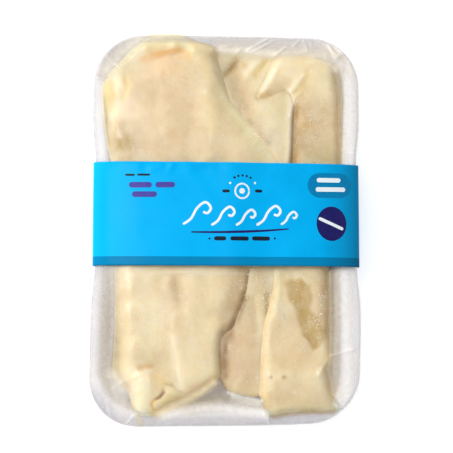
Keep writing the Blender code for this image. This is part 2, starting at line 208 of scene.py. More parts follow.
# A colour laid along a route
Patch = namedtuple("Patch", "radius strength colour route")
STEP_EDGE = 3.0  # how wide a flap's edge is
STEP_TAPER = 0.25  # the share of its length over which a flap's edge ends


def routed(kind, rows):
    """Records from rows that hold the other fields first and then the x and y values of the route in turn."""
    first = len(kind._fields) - 1
    return [kind(*row[:first], list(zip(row[first::2], row[first + 1::2]))) for row in rows]


def strokes_height(x, y, strokes, steps=()):
    height = np.zeros(np.shape(x))
    for stroke in strokes:
        height = height + stroke.rise * near_route(x, y, stroke.route, stroke.half_width)
    for step in steps:
        distance, side, along, length = nearest_on_route(x, y, step.route)
        taper = smooth_share(np.minimum(along, length - along) / (STEP_TAPER * length))
        rise = smooth_share(0.5 + side * distance / STEP_EDGE)
        height = height + step.rise * taper * rise * bell(distance, step.reach)
    return height


# Materials


def srgb(red, green, blue):
    """A linear colour from display values between 0 and 255."""
    channels = np.array([red, green, blue]) / 255.0
    linear = np.where(channels <= 0.04045, channels / 12.92, ((channels + 0.055) / 1.055) ** 2.4)
    return (*(float(c) for c in linear), 1.0)


def new_material(name):
    made = bpy.data.materials.new(name)
    made.use_nodes = True
    made.node_tree.nodes.clear()
    return made, made.node_tree


def node(tree, kind, inputs, output=0, **settings):
    """An output of a new node, with its settings, and its inputs set to values or linked to sockets."""
    made = tree.nodes.new(kind)
    for key, value in settings.items():
        setattr(made, key, value)
    for key, value in inputs.items():
        if isinstance(value, bpy.types.NodeSocket):
            tree.links.new(value, made.inputs[key])
        else:
            made.inputs[key].default_value = value
    return made.outputs[output]


def maths(tree, operation, first, second):
    return node(tree, "ShaderNodeMath", {0: first, 1: second}, operation=operation)


def scaled(tree, point, factors):
    return node(tree, "ShaderNodeVectorMath", {0: point, 1: factors}, operation="MULTIPLY")


def object_point(tree, scale=1.0):
    """The point on the object in millimetres over the scale."""
    return scaled(tree, node(tree, "ShaderNodeTexCoord", {}, "Object"), (1.0 / (scale * TO_METRES),) * 3)


def noise(tree, size, detail=2.0, roughness=0.5, stretch=(1.0, 1.0, 1.0)):
    point = scaled(tree, object_point(tree, size), stretch)
    inputs = {"Vector": point, "Scale": 1.0, "Detail": detail, "Roughness": roughness}
    return node(tree, "ShaderNodeTexNoise", inputs, "Fac")


def cells(tree, size, **settings):
    inputs = {"Vector": object_point(tree, size), "Scale": 1.0, "Randomness": 1.0}
    return node(tree, "ShaderNodeTexVoronoi", inputs, "Distance", **settings)


def remap(tree, value, low, high, to_low, to_high):
    inputs = {"Value": value, "From Min": low, "From Max": high, "To Min": to_low, "To Max": to_high}
    return node(tree, "ShaderNodeMapRange", inputs, "Result")


def mix_colour(tree, factor, first, second, blend="MIX"):
    return node(tree, "ShaderNodeMix", {0: factor, 6: first, 7: second}, 2, data_type="RGBA", blend_type=blend)


def bump(tree, height, distance, strength=0.5, **below):
    inputs = {"Height": height, "Distance": distance * TO_METRES, "Strength": strength, **below}
    return node(tree, "ShaderNodeBump", inputs, "Normal")


def finish_material(tree, surface):
    tree.links.new(surface, tree.nodes.new("ShaderNodeOutputMaterial").inputs["Surface"])


def principled(tree, tone, roughness, more):
    """Ends a material with one principled shader. More holds its other inputs."""
    inputs = {"Base Color": tone, "Roughness": roughness, **more}
    finish_material(tree, node(tree, "ShaderNodeBsdfPrincipled", inputs))


def painted_tint(tree):
    """The colour of the mesh's tint and its fourth value."""
    return [node(tree, "ShaderNodeAttribute", {}, output, attribute_name="tint") for output in ("Color", "Alpha")]


def foam_material():
    made, tree = new_material("foam")
    seams = remap(tree, cells(tree, 2.6, feature="DISTANCE_TO_EDGE"), 0.0, 0.12, 0.0, 1.0)
    tone = mix_colour(tree, remap(tree, noise(tree, 22.0, 3.0), 0.3, 0.7, 0.0, 1.0), FOAM_COOL, FOAM_WARM)
    tone = mix_colour(tree, remap(tree, seams, 0.0, 1.0, 0.10, 0.0), tone, FOAM_SEAM)
    principled(tree, tone, remap(tree, noise(tree, 4.0), 0.3, 0.7, 0.38, 0.55), {
        "Subsurface Weight": 0.8,
        "Subsurface Radius": (1.0, 0.96, 0.92),
        "Subsurface Scale": 0.008,
        "Normal": bump(tree, noise(tree, 1.1, 3.0), 0.10, Normal=bump(tree, seams, 0.10)),
    })
    return made


def cod_material():
    """Moist flesh: the mesh's tint, which holds painted shade and highlights, mottled, over scattering flesh with a
    wet coat.
    """
    made, tree = new_material("cod")
    tint, scatter = painted_tint(tree)
    mottle = noise(tree, 7.0, 4.0, 0.6)
    grain = noise(tree, 1.6, 3.0, 0.6)
    fibres = noise(tree, 3.4, 3.0, 0.6, stretch=(1.2, 0.8, 1.0))
    tone = mix_colour(tree, remap(tree, mottle, 0.40, 0.70, 0.0, 0.30), tint, FLESH_PALE)
    tone = mix_colour(tree, remap(tree, fibres, 0.50, 0.75, 0.0, 0.16), tone, FLESH_DEEP, "MULTIPLY")
    tone = mix_colour(tree, remap(tree, grain, 0.54, 0.75, 0.0, 0.14), tone, FLESH_DEEP, "MULTIPLY")
    crowded = remap(tree, noise(tree, 11.0, 3.0, 0.6), 0.46, 0.62, 0.0, 0.75)
    specks = maths(tree, "MULTIPLY", remap(tree, cells(tree, 1.5), 0.14, 0.26, 1.0, 0.0), crowded)
    tone = mix_colour(tree, specks, tone, FLESH_SPECK)
    clouds = remap(tree, noise(tree, 4.5, 4.0, 0.65), 0.42, 0.68, 0.0, 0.16)
    tone = mix_colour(tree, clouds, tone, FLESH_CLOUD, "MULTIPLY")
    principled(tree, tone, remap(tree, mottle, 0.3, 0.7, 0.34, 0.52), {
        "Subsurface Weight": maths(tree, "MULTIPLY", scatter, FLESH_SCATTER),
        "Subsurface Radius": (1.0, 0.80, 0.50),
        "Subsurface Scale": 0.007,
        "Specular IOR Level": 0.25,
        "Coat Weight": 0.08,
        "Coat Roughness": 0.25,
        "Normal": bump(tree, grain, 0.08, Normal=bump(tree, fibres, 0.18)),
    })
    return made


def film_material():
    """Clear stretched film: it lets light through and mirrors more at a slant, with a faint milkiness. The mesh's
    tint adds milkiness, painted highlights and painted shade.
    """
    made, tree = new_material("film")
    relief = bump(tree, noise(tree, 5.0, 3.0), 0.09)
    clear = node(tree, "ShaderNodeBsdfTransparent", {"Color": FILM_CLEAR})
    shine = node(tree, "ShaderNodeBsdfAnisotropic", {"Color": (1.0,) * 4, "Roughness": 0.25, "Normal": relief})
    colour, share = painted_tint(tree)
    # The tint's colour: milkiness, painted highlights and painted shade
    tint_layer = node(tree, "ShaderNodeBsdfDiffuse", {"Color": colour})
    streaks = remap(tree, noise(tree, 3.0, 3.0, 0.6), 0.3, 0.7, 0.85, 1.15)
    slant = node(tree, "ShaderNodeLayerWeight", {"Blend": 0.5, "Normal": relief}, "Facing")
    fresnel = remap(tree, maths(tree, "POWER", slant, 4.0), 0.0, 1.0, FILM_MIRROR, FILM_MIRROR_SLANTED)
    tint_share = remap(tree, noise(tree, 14.0, 3.0), 0.35, 0.75, 0.02, 0.08)
    tint_share = maths(tree, "ADD", tint_share, maths(tree, "MULTIPLY", share, streaks))
    body = node(tree, "ShaderNodeMixShader", {0: tint_share, 1: clear, 2: tint_layer})
    finish_material(tree, node(tree, "ShaderNodeMixShader", {0: fresnel, 1: body, 2: shine}))
    return made


def sleeve_material():
    """Glossy printed paper, with a darker stripe along the lower edge, painted light on its left part and painted
    shade towards its right end.
    """
    made, tree = new_material("sleeve")
    across, along = (node(tree, "ShaderNodeSeparateXYZ", {0: object_point(tree)}, axis) for axis in "XY")
    stripe = maths(tree, "LESS_THAN", along, SLEEVE_MIDDLE_Y - SLEEVE_LENGTH / 2 + STRIPE_WIDTH)
    cloud = noise(tree, 18.0, 4.0, 0.55)
    tone = mix_colour(tree, remap(tree, cloud, 0.3, 0.7, 0.0, 1.0), SKY_BLUE, SKY_BLUE_LIGHT)
    # Painted light: the left part lighter
    tone = mix_colour(tree, remap(tree, across, -60.0, 0.0, 0.45, 0.0), tone, SKY_BLUE_LIT)
    tone = mix_colour(tree, stripe, tone, STRIPE_BLUE)
    tone = mix_colour(tree, remap(tree, across, 48.0, 71.0, 0.0, 1.0), tone, SLEEVE_SHADE, "MULTIPLY")
    waves = bump(tree, noise(tree, 9.0, 3.0), 0.10, 0.6)
    principled(tree, tone, remap(tree, cloud, 0.3, 0.7, 0.24, 0.42), {
        "Specular IOR Level": 0.06,
        "Coat Weight": 0.04,
        "Coat Roughness": 0.12,
        "Normal": bump(tree, noise(tree, 0.7, 2.0), 0.012, Normal=waves),
    })
    return made


def ink_material(name, colour, paler):
    """Printed ink, a little uneven."""
    made, tree = new_material(name)
    tone = mix_colour(tree, remap(tree, noise(tree, 2.5, 3.0), 0.35, 0.7, 0.0, 0.6), colour, paler)
    principled(tree, tone, remap(tree, noise(tree, 6.0), 0.3, 0.7, 0.26, 0.40), {
        "Specular IOR Level": 0.10,
        "Coat Weight": 0.08,
        "Coat Roughness": 0.16,
        "Normal": bump(tree, noise(tree, 9.0, 3.0), 0.10, 0.6),
    })
    return made


def bubble_material():
    made, tree = new_material("bubbles")
    shine = remap(tree, noise(tree, 1.5), 0.3, 0.7, 0.05, 0.2)
    principled(tree, BUBBLE, shine, {"Coat Weight": 1.0, "Coat Roughness": 0.05})
    return made


def floor_material():
    made, tree = new_material("floor")
    tone = mix_colour(tree, noise(tree, 300.0), FLOOR_TONE, FLOOR_TONE_LOW)
    principled(tree, tone, 0.9, {"Emission Color": FLOOR_TONE, "Emission Strength": FLOOR_GLOW})
    return made


FILM_MIRROR = 0.06  # share of light that the film mirrors when seen squarely
FILM_MIRROR_SLANTED = 0.45
FILM_CLEAR = (0.985, 0.985, 0.98, 1.0)
FLESH_SCATTER = 0.85

# Colours of surfaces, under a light that shows a white floor as pure white
FOAM_WARM = srgb(236, 231, 227)
FOAM_COOL = srgb(234, 232, 236)
FOAM_SEAM = srgb(198, 196, 202)
FLESH_PALE = srgb(250, 236, 204)
FLESH_DEEP = srgb(232, 212, 180)
FLESH_SPECK = srgb(254, 246, 224)
FLESH_CLOUD = srgb(240, 224, 190)
SKY_BLUE = srgb(0, 162, 224)
SKY_BLUE_LIGHT = srgb(0, 169, 232)
# A lighter blue for painted light on the sleeve's left part
SKY_BLUE_LIT = srgb(0, 186, 248)
STRIPE_BLUE = srgb(0, 126, 176)
BUBBLE = srgb(246, 236, 206)
FLOOR_TONE = (0.86, 0.86, 0.86, 1.0)
FLOOR_TONE_LOW = (0.84, 0.84, 0.84, 1.0)
FLOOR_GLOW = 0.6
SLEEVE_SHADE = (0.56, 0.56, 0.56, 1.0)
STRIPE_WIDTH = 4.8


def new_piece(name, points, faces, surface, replaced=None, tint=None, sharp=()):
    """A smooth mesh piece in metres from points in millimetres, riding on the pack. Sharp holds pairs of points."""
    mesh = bpy.data.meshes.new(name)
    low, high = np.array(cad_box)
    low[:2] += BOX_MARGIN
    points = np.clip(np.asarray(points, dtype=float) * TO_METRES, low, high - BOX_MARGIN)
    mesh.from_pydata(points.tolist(), [], faces)
    bm = bmesh.new()
    bm.from_mesh(mesh)
    for face in bm.faces:
        face.smooth = True
    bmesh.ops.recalc_face_normals(bm, faces=bm.faces[:])
    bm.verts.ensure_lookup_table()
    for a, b in sharp:
        edge = bm.edges.get((bm.verts[a], bm.verts[b]))
        if edge:
            edge.smooth = False
    bm.to_mesh(mesh)
    bm.free()
    mesh.materials.append(surface)
    if tint is not None:
        attribute = mesh.color_attributes.new("tint", "FLOAT_COLOR", "POINT")
        attribute.data.foreach_set("color", np.asarray(tint, dtype=np.float32).ravel())
    obj = bpy.data.objects.new(name, mesh)
    bpy.context.scene.collection.objects.link(obj)
    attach(obj, "root")
    if replaced:
        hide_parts(replaced)
    return obj


def ring_faces(rings, count, closed=True, first=0):
    """Quads between rings of that many points each."""
    faces = []
    for r in range(rings - 1):
        for k in range(count if closed else count - 1):
            a, b = first + r * count + k, first + r * count + (k + 1) % count
            faces.append((a, b, b + count, a + count))
    return faces


# The tray

BEND_STEPS = 10
CORNER_STEPS = 18
SHORT_SIDE_STEPS = 30
LONG_SIDE_STEPS = 52
FLOOR_RINGS = 14
NOSE_RADIUS = FOAM / 2
FOAM_WOBBLE = 0.10


def tray_arcs(offset):
    """The rim's bend and the floor's fillet, as (inset, z) points of the upper face or one that far below it."""
    turns = np.linspace(0.0, WALL_ANGLE, BEND_STEPS + 1)
    bend_x, bend_z = LIP_RUN + RIM_FLAT, RIM_Z - RIM_BEND_RADIUS
    radius = RIM_BEND_RADIUS - offset
    bend = [(bend_x + radius * math.sin(a), bend_z + radius * math.cos(a)) for a in turns]
    foot_z = FLOOR_Z + FLOOR_FILLET_RADIUS * (1 - math.cos(WALL_ANGLE))
    bend_end_x = bend_x + RIM_BEND_RADIUS * math.sin(WALL_ANGLE)
    bend_end_z = bend_z + RIM_BEND_RADIUS * math.cos(WALL_ANGLE)
    foot_x = bend_end_x + (bend_end_z - foot_z) / math.tan(WALL_ANGLE)
    centre_x, centre_z = foot_x + FLOOR_FILLET_RADIUS * math.sin(WALL_ANGLE), FLOOR_Z + FLOOR_FILLET_RADIUS
    radius = FLOOR_FILLET_RADIUS + offset
    fillet = [(centre_x - radius * math.sin(a), centre_z - radius * math.cos(a)) for a in turns[::-1]]
    return bend, fillet


UPPER_BEND, UPPER_FILLET = tray_arcs(0.0)
FLOOR_INSET = UPPER_FILLET[-1][0]
UPPER_NOSE = [(0.0, RIM_Z - NOSE_RADIUS), (NOSE_RADIUS * 0.3, RIM_Z - NOSE_RADIUS * 0.29), (NOSE_RADIUS, RIM_Z)]
UPPER_SECTION = np.array([*UPPER_NOSE, *UPPER_BEND, *UPPER_FILLET])


def rim_ring(inset):
    """The points of the tray's outline, that far inside the rim's outer edge, before the squeeze."""
    centre_x, centre_y = TRAY_WIDTH / 2 - RIM_CORNER_RADIUS, TRAY_LENGTH / 2 - RIM_CORNER_RADIUS
    radius = RIM_CORNER_RADIUS - inset
    corners = []
    for side_x, side_y, start in ((1, 1, 0.0), (-1, 1, 0.5), (-1, -1, 1.0), (1, -1, 1.5)):
        turns = [math.pi * (start + 0.5 * k / CORNER_STEPS) for k in range(CORNER_STEPS + 1)]
        corners.append(
            [(side_x * centre_x + radius * math.cos(a), side_y * centre_y + radius * math.sin(a)) for a in turns]
        )
    points = []
    for corner, after, steps in zip(corners, corners[1:] + corners[:1], (SHORT_SIDE_STEPS, LONG_SIDE_STEPS) * 2):
        (x, y), (end_x, end_y) = corner[-1], after[0]
        points += corner + [(x + (end_x - x) * (k / steps), y + (end_y - y) * (k / steps)) for k in range(1, steps)]
    return np.array(points)


def rim_inset(x, y):
    """How far a point lies inside the rim's outer edge."""
    over_x = np.abs(x) - (TRAY_WIDTH / 2 - RIM_CORNER_RADIUS)
    over_y = np.abs(y) - (TRAY_LENGTH / 2 - RIM_CORNER_RADIUS)
    beyond = np.hypot(np.maximum(over_x, 0.0), np.maximum(over_y, 0.0))
    return RIM_CORNER_RADIUS - beyond - np.minimum(np.maximum(over_x, over_y), 0.0)


def inset_at_rim(x, y):
    """How far a placed point lies inside the rim's outer edge, at the rim's height."""
    shift_x, shift_y = corner_shift(x, y)
    return rim_inset((x - shift_x) / squeeze_factor(y), y - shift_y)


def tray_height(x, y):
    """The height of the tray's upper face."""
    shift_x, shift_y = corner_shift(x, y)
    height = np.full(np.shape(x), RIM_Z)
    for _ in range(3):
        inset = rim_inset((x - shift_x) / squeeze_factor(y - shift_y, height), y - shift_y)
        height = np.interp(inset, UPPER_SECTION[:, 0], UPPER_SECTION[:, 1])
    return height


def placed(x, y, z):
    """Points after the sleeve's squeeze and the corners' pull."""
    x = x * squeeze_factor(y, z)
    shift_x, shift_y = corner_shift(x, y)
    return np.stack([x + shift_x, y + shift_y, np.broadcast_to(z, np.shape(x))], axis=-1)


def make_tray(surface):
    under_bend, under_fillet = tray_arcs(FOAM)
    nose = [
        (NOSE_RADIUS + NOSE_RADIUS * math.cos(a), RIM_Z - NOSE_RADIUS + NOSE_RADIUS * math.sin(a))
        for a in np.linspace(math.pi / 2, math.pi * 1.5, 13)
    ]
    walls = np.array([*UPPER_FILLET[::-1], *UPPER_BEND[::-1], *nose, *under_bend, *under_fillet])
    floor, base = rim_ring(FLOOR_INSET), rim_ring(walls[-1][0])
    rings = [(floor * share, FLOOR_Z) for share in np.linspace(0.0, 1.0, FLOOR_RINGS + 1)[1:-1]]
    rings += [(rim_ring(inset), z) for inset, z in walls]
    rings += [(base * share, TRAY_BASE_Z) for share in (0.75, 0.5, 0.25)]
    points = np.concatenate([placed(ring[:, 0], ring[:, 1], z) for ring, z in rings])
    wobble = FOAM_WOBBLE * value_noise(points[:, 0], points[:, 1] + points[:, 2], 9.0, 4)
    points[:, 2] += wobble * (points[:, 2] > FLOOR_Z + 1.0)
    faces = ring_faces(len(rings), len(floor))
    faces += [tuple(range(len(floor))), tuple(range(len(points) - len(base), len(points)))]
    return new_piece("foam_tray", points, faces, surface, "tray")


# The cod

Cod = namedtuple("Cod", "name seed outline backs strokes steps patches")

GRID_STEP = 0.85
GRID_MARGIN = 0.45
OUTLINE_STEP = 0.9
BASE_STEP = 5.0
BASE_MARGIN = 2.0
SHOULDER_START = 1.6
SHOULDER_SHARE = 1.05
LEAST_FLESH = 0.9
SIDE_RINGS = 6
SIDE_BULGE = 0.15
UNDERCUT = 1.2
LEAST_SIDE = 0.5
SNAP = 1.5  # how near a neighbour an outline's point is moved to it
PRESS = 0.25  # how far it is pressed into the neighbour's edge
PROBE = 0.05
SEAM_DEPTH = 0.12
SEAM_BLUR = 3
CLEAR_OF_SEAM = 2.4
RELIEF_BLURS = 8
RELIEF_SPAN = 1.2
SEAM_REACH = 1.6  # how far from its neighbour's outline a point still counts as beside it
SEAM_POWER = 1.6
SHAKE = 0.12  # the share of a step by which the points of a grid are moved
FLESH_BUMPS = ((0.42, 15.0), (0.20, 6.5), (0.07, 2.6))  # rise and size of the back's uneven layers

# Colours of the flesh. Some paint light and shade: the shade colours lie in creases, hollows, gaps and along shaded
# edges, and the highlight colours on ridges and lobes.
CREAM = srgb(236, 216, 174)
PINK = srgb(232, 205, 166)
PALE = srgb(246, 233, 199)
HIGHLIGHT_CREAM = srgb(252, 240, 210)
OVAL = srgb(226, 200, 157)
CREASE_SHADE_YELLOW = srgb(242, 216, 148)
SHADE_GOLD = srgb(208, 176, 112)
FLAP_SHADE_GOLD = srgb(186, 152, 90)
HONEY = srgb(222, 192, 134)
PEACH = srgb(246, 212, 166)
LOBE_HIGHLIGHT = srgb(247, 231, 180)
THIN = srgb(232, 223, 196)
GREENISH = srgb(222, 211, 162)
TAN = srgb(210, 184, 142)
ORANGE = srgb(240, 180, 66)
GEL = srgb(202, 172, 106)
OLIVE = srgb(196, 178, 122)
BROWN = srgb(156, 116, 74)
ROSE = srgb(222, 192, 156)
RED_BROWN = srgb(160, 104, 70)
GREY_YELLOW = srgb(220, 202, 156)
SHADE_AMBER = srgb(216, 174, 100)
VALLEY_SHADE_AMBER = srgb(176, 126, 30)
SHADOW_GOLD = srgb(190, 160, 92)
LOWER_EDGE_SHADE = srgb(176, 142, 98)
RIDGE_HIGHLIGHT = srgb(255, 240, 216)
SOFT_YELLOW = srgb(232, 202, 136)
SEAM_SHADE_AMBER = srgb(144, 102, 34)
SHADED = srgb(204, 172, 120)
EDGE_SHADE_BEIGE = srgb(208, 186, 144)

LEFT_OUTLINE = (
    (-41.3, 104.2, 4), (-32.1, 104.7, 4), (-24.5, 104.3, 4), (-21, 102.7, 3.5), (-16.4, 100.9, 3),
    (-11, 99.4, 2.5), (-5.5, 96.7, 2.5), (-5, 91.2, 3), (-2.3, 81.9, 3), (1, 70.4, 3), (3.7, 66.1, 2.5),
    (7.5, 62.3, 2.5), (9.7, 56.9, 2), (14.5, 51.7, 1.2), (21, 43.1, 1), (24.8, 38.5, 1), (27.2, 33.7, 1.5),
    (25.9, 23.3, 2.5), (18.7, -1.1, 3.5), (12.6, -20.4, 4), (10.3, -33.2, 4.5), (8.4, -40.1, 5),
    (5.8, -46, 5), (2.6, -53.7, 5), (-1.7, -56.3, 4.5), (-3.8, -60.3, 4), (-3.8, -70.3, 4), (-3.8, -79, 4),
    (-9, -83.3, 5), (-13.8, -87.2, 5.5), (-21.2, -91.3, 6), (-25.3, -92.2, 6), (-30.2, -95, 5.5),
    (-35.3, -97.3, 3.5), (-39.1, -99.3, 3.5), (-46.8, -98.8, 3.5), (-48.9, -96.2, 3.5), (-50.5, -92.6, 3.5),
    (-51.3, -88.9, 3.8), (-53.7, -85.5, 7), (-57.9, -82.9, 10), (-61.2, -78.7, 11), (-61.6, -73.3, 11),
    (-60.4, -67.1, 9), (-59.7, -59.8, 6.5), (-59.5, -44, 5), (-59.8, -28.2, 5), (-60.6, -18.7, 5),
    (-60.6, 6.2, 5), (-62, 32.5, 5), (-64.2, 43.8, 5), (-66.1, 57.3, 4.5), (-67, 65.4, 4),
    (-67, 73.5, 3.5), (-65.7, 79.6, 3), (-63.1, 83.4, 2.5), (-59.4, 86.8, 2.2), (-52.5, 94.6, 2.2),
    (-45.6, 102.2, 3),
)
MIDDLE_OUTLINE = (
    (-2.8, 95.9, 1.5), (7, 95.9, 1.5), (16.8, 95, 1.2), (25.2, 93.8, 0.8), (23.7, 88.5, 0.6),
    (20.9, 81.2, 0.6), (17.6, 75.1, 0.6), (16.3, 69.6, 0.5), (23.8, 71.5, 0.5), (30.4, 74.6, 0.5),
    (33.1, 73.2, 1), (34.6, 71, 2), (36, 66.6, 3.5), (35.7, 60, 5), (35.2, 47.9, 5), (34.6, 33.7, 4),
    (31.2, 7.1, 3), (25, -18.2, 1.5), (25, -29.4, 1.2), (23.6, -38, 1), (21.7, -44.9, 1),
    (19.8, -51.3, 1), (18.5, -62.4, 1), (18, -72.9, 1), (17.6, -83.4, 1.5), (16.5, -89.4, 2),
    (9.4, -89.2, 2.5), (2.6, -87.6, 2.5), (-0.6, -85, 2.5), (-2.4, -81.5, 3.5), (-3.4, -76.3, 4.5),
    (-3.4, -69.7, 4.5), (-3.2, -62.9, 4.5), (-1.2, -57.2, 4), (3.2, -53.8, 3), (6.2, -46.4, 2),
    (8.8, -40.2, 1.5), (10.7, -33.5, 1), (13.2, -20.6, 1), (14.5, -16.3, 0.6), (19.7, 0, 0.4),
    (26.7, 23.3, 0.2), (27.9, 33.7, 0.1), (25.2, 38.8, 0.1), (21.5, 43.4, 0.1), (15.1, 52, 0.1),
    (10.2, 57.1, 0.2), (8, 62.8, 0.3), (4.1, 66.5, 0.3), (1.4, 70.7, 0.3), (-1.9, 82.1, 0.3),
    (-4.6, 90.9, 0.3), (-5, 94.6, 0.6),
)
RIGHT_OUTLINE = (
    (26.7, 93.8, 1.5), (34.9, 94.8, 2), (43.1, 95.2, 2.5), (50.8, 94, 3), (55.5, 92.2, 3.5), (58.5, 86.9, 4),
    (60.4, 78.7, 5), (61.7, 70.4, 5), (62.4, 62.1, 5.5), (62.4, 48.4, 5.5), (61.8, 34.1, 5.5),
    (59.2, 7.4, 5.5), (55.4, -18, 5.5), (55, -33.1, 5.5), (55.2, -44.8, 5.5), (54.8, -57.1, 5.5),
    (55.8, -68.2, 5), (53.6, -76.1, 5), (55.1, -84, 5), (57.5, -90.9, 4), (59, -95.8, 3), (55.3, -97.8, 2.4),
    (43.5, -97.9, 2.4), (34.4, -98.1, 2.4), (29.6, -98.9, 2.6), (22.7, -100.5, 3), (20, -97, 3),
    (18.7, -90.8, 3), (19, -72.9, 3), (19.7, -62.4, 3), (21.1, -51.3, 3), (23, -44.9, 3), (24.9, -38, 3),
    (26.2, -29.4, 3), (26.5, -18.2, 3.5), (31.7, 7.1, 4), (34.9, 33.8, 5), (35.5, 48, 5), (36, 60, 5),
    (36.6, 67.7, 3.5), (36.2, 72.1, 2.5), (33.9, 75.1, 1.5), (30.7, 76.2, 1.5), (23.8, 73.1, 1.5),
    (16.9, 70.2, 1.2), (18.4, 75.1, 1), (22.3, 81.3, 1), (25.1, 88.5, 1),
)
LEFT_BACKS = (
    (-98, 0.2), (-88, 1.6), (-80, 2.4), (-74, 2.7), (-62, 3.3), (-52, 3.4), (-41, 3.3), (-21.5, 3), (6.5, 2.8),
    (33, 2.8), (46, 2.9), (58, 3), (67, 3.3), (76, 3.6), (84, 3.5), (92, 3.3), (98.5, 3), (103, 1.8),
)
LEFT_STROKES = routed(Stroke, (
    (5, 1.7, -47.7, 94, -41.8, 97.9, -33.8, 100.8, -24.7, 99.9, -18.4, 96.4),
    (5.5, 0.9, -13.6, 90.2, -10.1, 79.4, -9.5, 68.5, -10, 56.5, -11.1, 44.1, -12.7, 34.8),
    (3, -0.7, -46.6, 91.3, -41.3, 90.3, -32.7, 92.6, -24.1, 95),
    (2.2, 0.25, -59.6, 72, -60.2, 55.7, -60.4, 45, -59.4, 34.8),
    (1.5, -0.3, -54.4, 79.5, -53.4, 75.1, -55.4, 68),
    (5, -0.8, -64.1, 76.2, -64.5, 61.1),
    (2.4, -0.3, -10.8, 52.3, -11.4, 48.4, -13, 41.9, -16.4, 35.3),
    (5, -0.4, -58.4, 39.6, -55.2, 35.4),
    (5.5, -0.9, -6.3, 90.5, -4.1, 79.5, 0.7, 64.3, 9.3, 50.9, 18.5, 37.4),
    (22, 0.5, -36.4, 76.2, -33.6, 54.5),
    (3.4, -0.9, -26.6, -28.8, -25.2, -40.4),
    (2.6, 0.7, -31.3, -28.8, -31.3, -30.9),
    (8, 0.3, -52.1, -30.5, -53, -48.3, -50.8, -66),
    (4.6, -0.6, -46, -71.5, -36, -72.5),
    (7, 0.9, -44.5, -81.6, -43, -87.8, -43.6, -94.5),
    (1.3, 0.35, -52.4, -80.8, -47.6, -78.4, -44.2, -77, -40.7, -76.2),
    (1.5, -0.35, -46, -74.6, -40, -73.9),
    (1, 0.25, -41.6, -78.5, -40.6, -84.6),
    (1.2, -0.2, -37.2, -79.2, -36.6, -84.2),
    (0.9, -0.3, -32.9, -82.6, -28.6, -83, -26.3, -86.1, -22.4, -87.7),
    (0.8, -0.7, -33.4, -85.6, -34, -87.8, -35.7, -89.8, -37.4, -90.6),
    (0.7, -0.4, -38.6, -91.2, -39.7, -92.9, -38.8, -95.7),
    (9, 0.7, -17.3, -30.8, -15.7, -54.5, -14, -73.3),
    (6.5, -1.5, 8.5, -22, 6.8, -33, 3.2, -45),
    (2.6, 0.5, -29.7, -86.3, -21.9, -88.9),
))
LEFT_STEPS = routed(Step, (
    (0.8, 6, -47.7, 91, -41.3, 90.3, -32.7, 92.9, -23, 95.6),
    (0.55, 9, -35.7, -48.3, -29.4, -50.9, -30.5, -57.1, -28.6, -63.4, -26.7, -67.9, -26.6, -73.3, -24.7, -82.2,
     -22.9, -87.9),
))
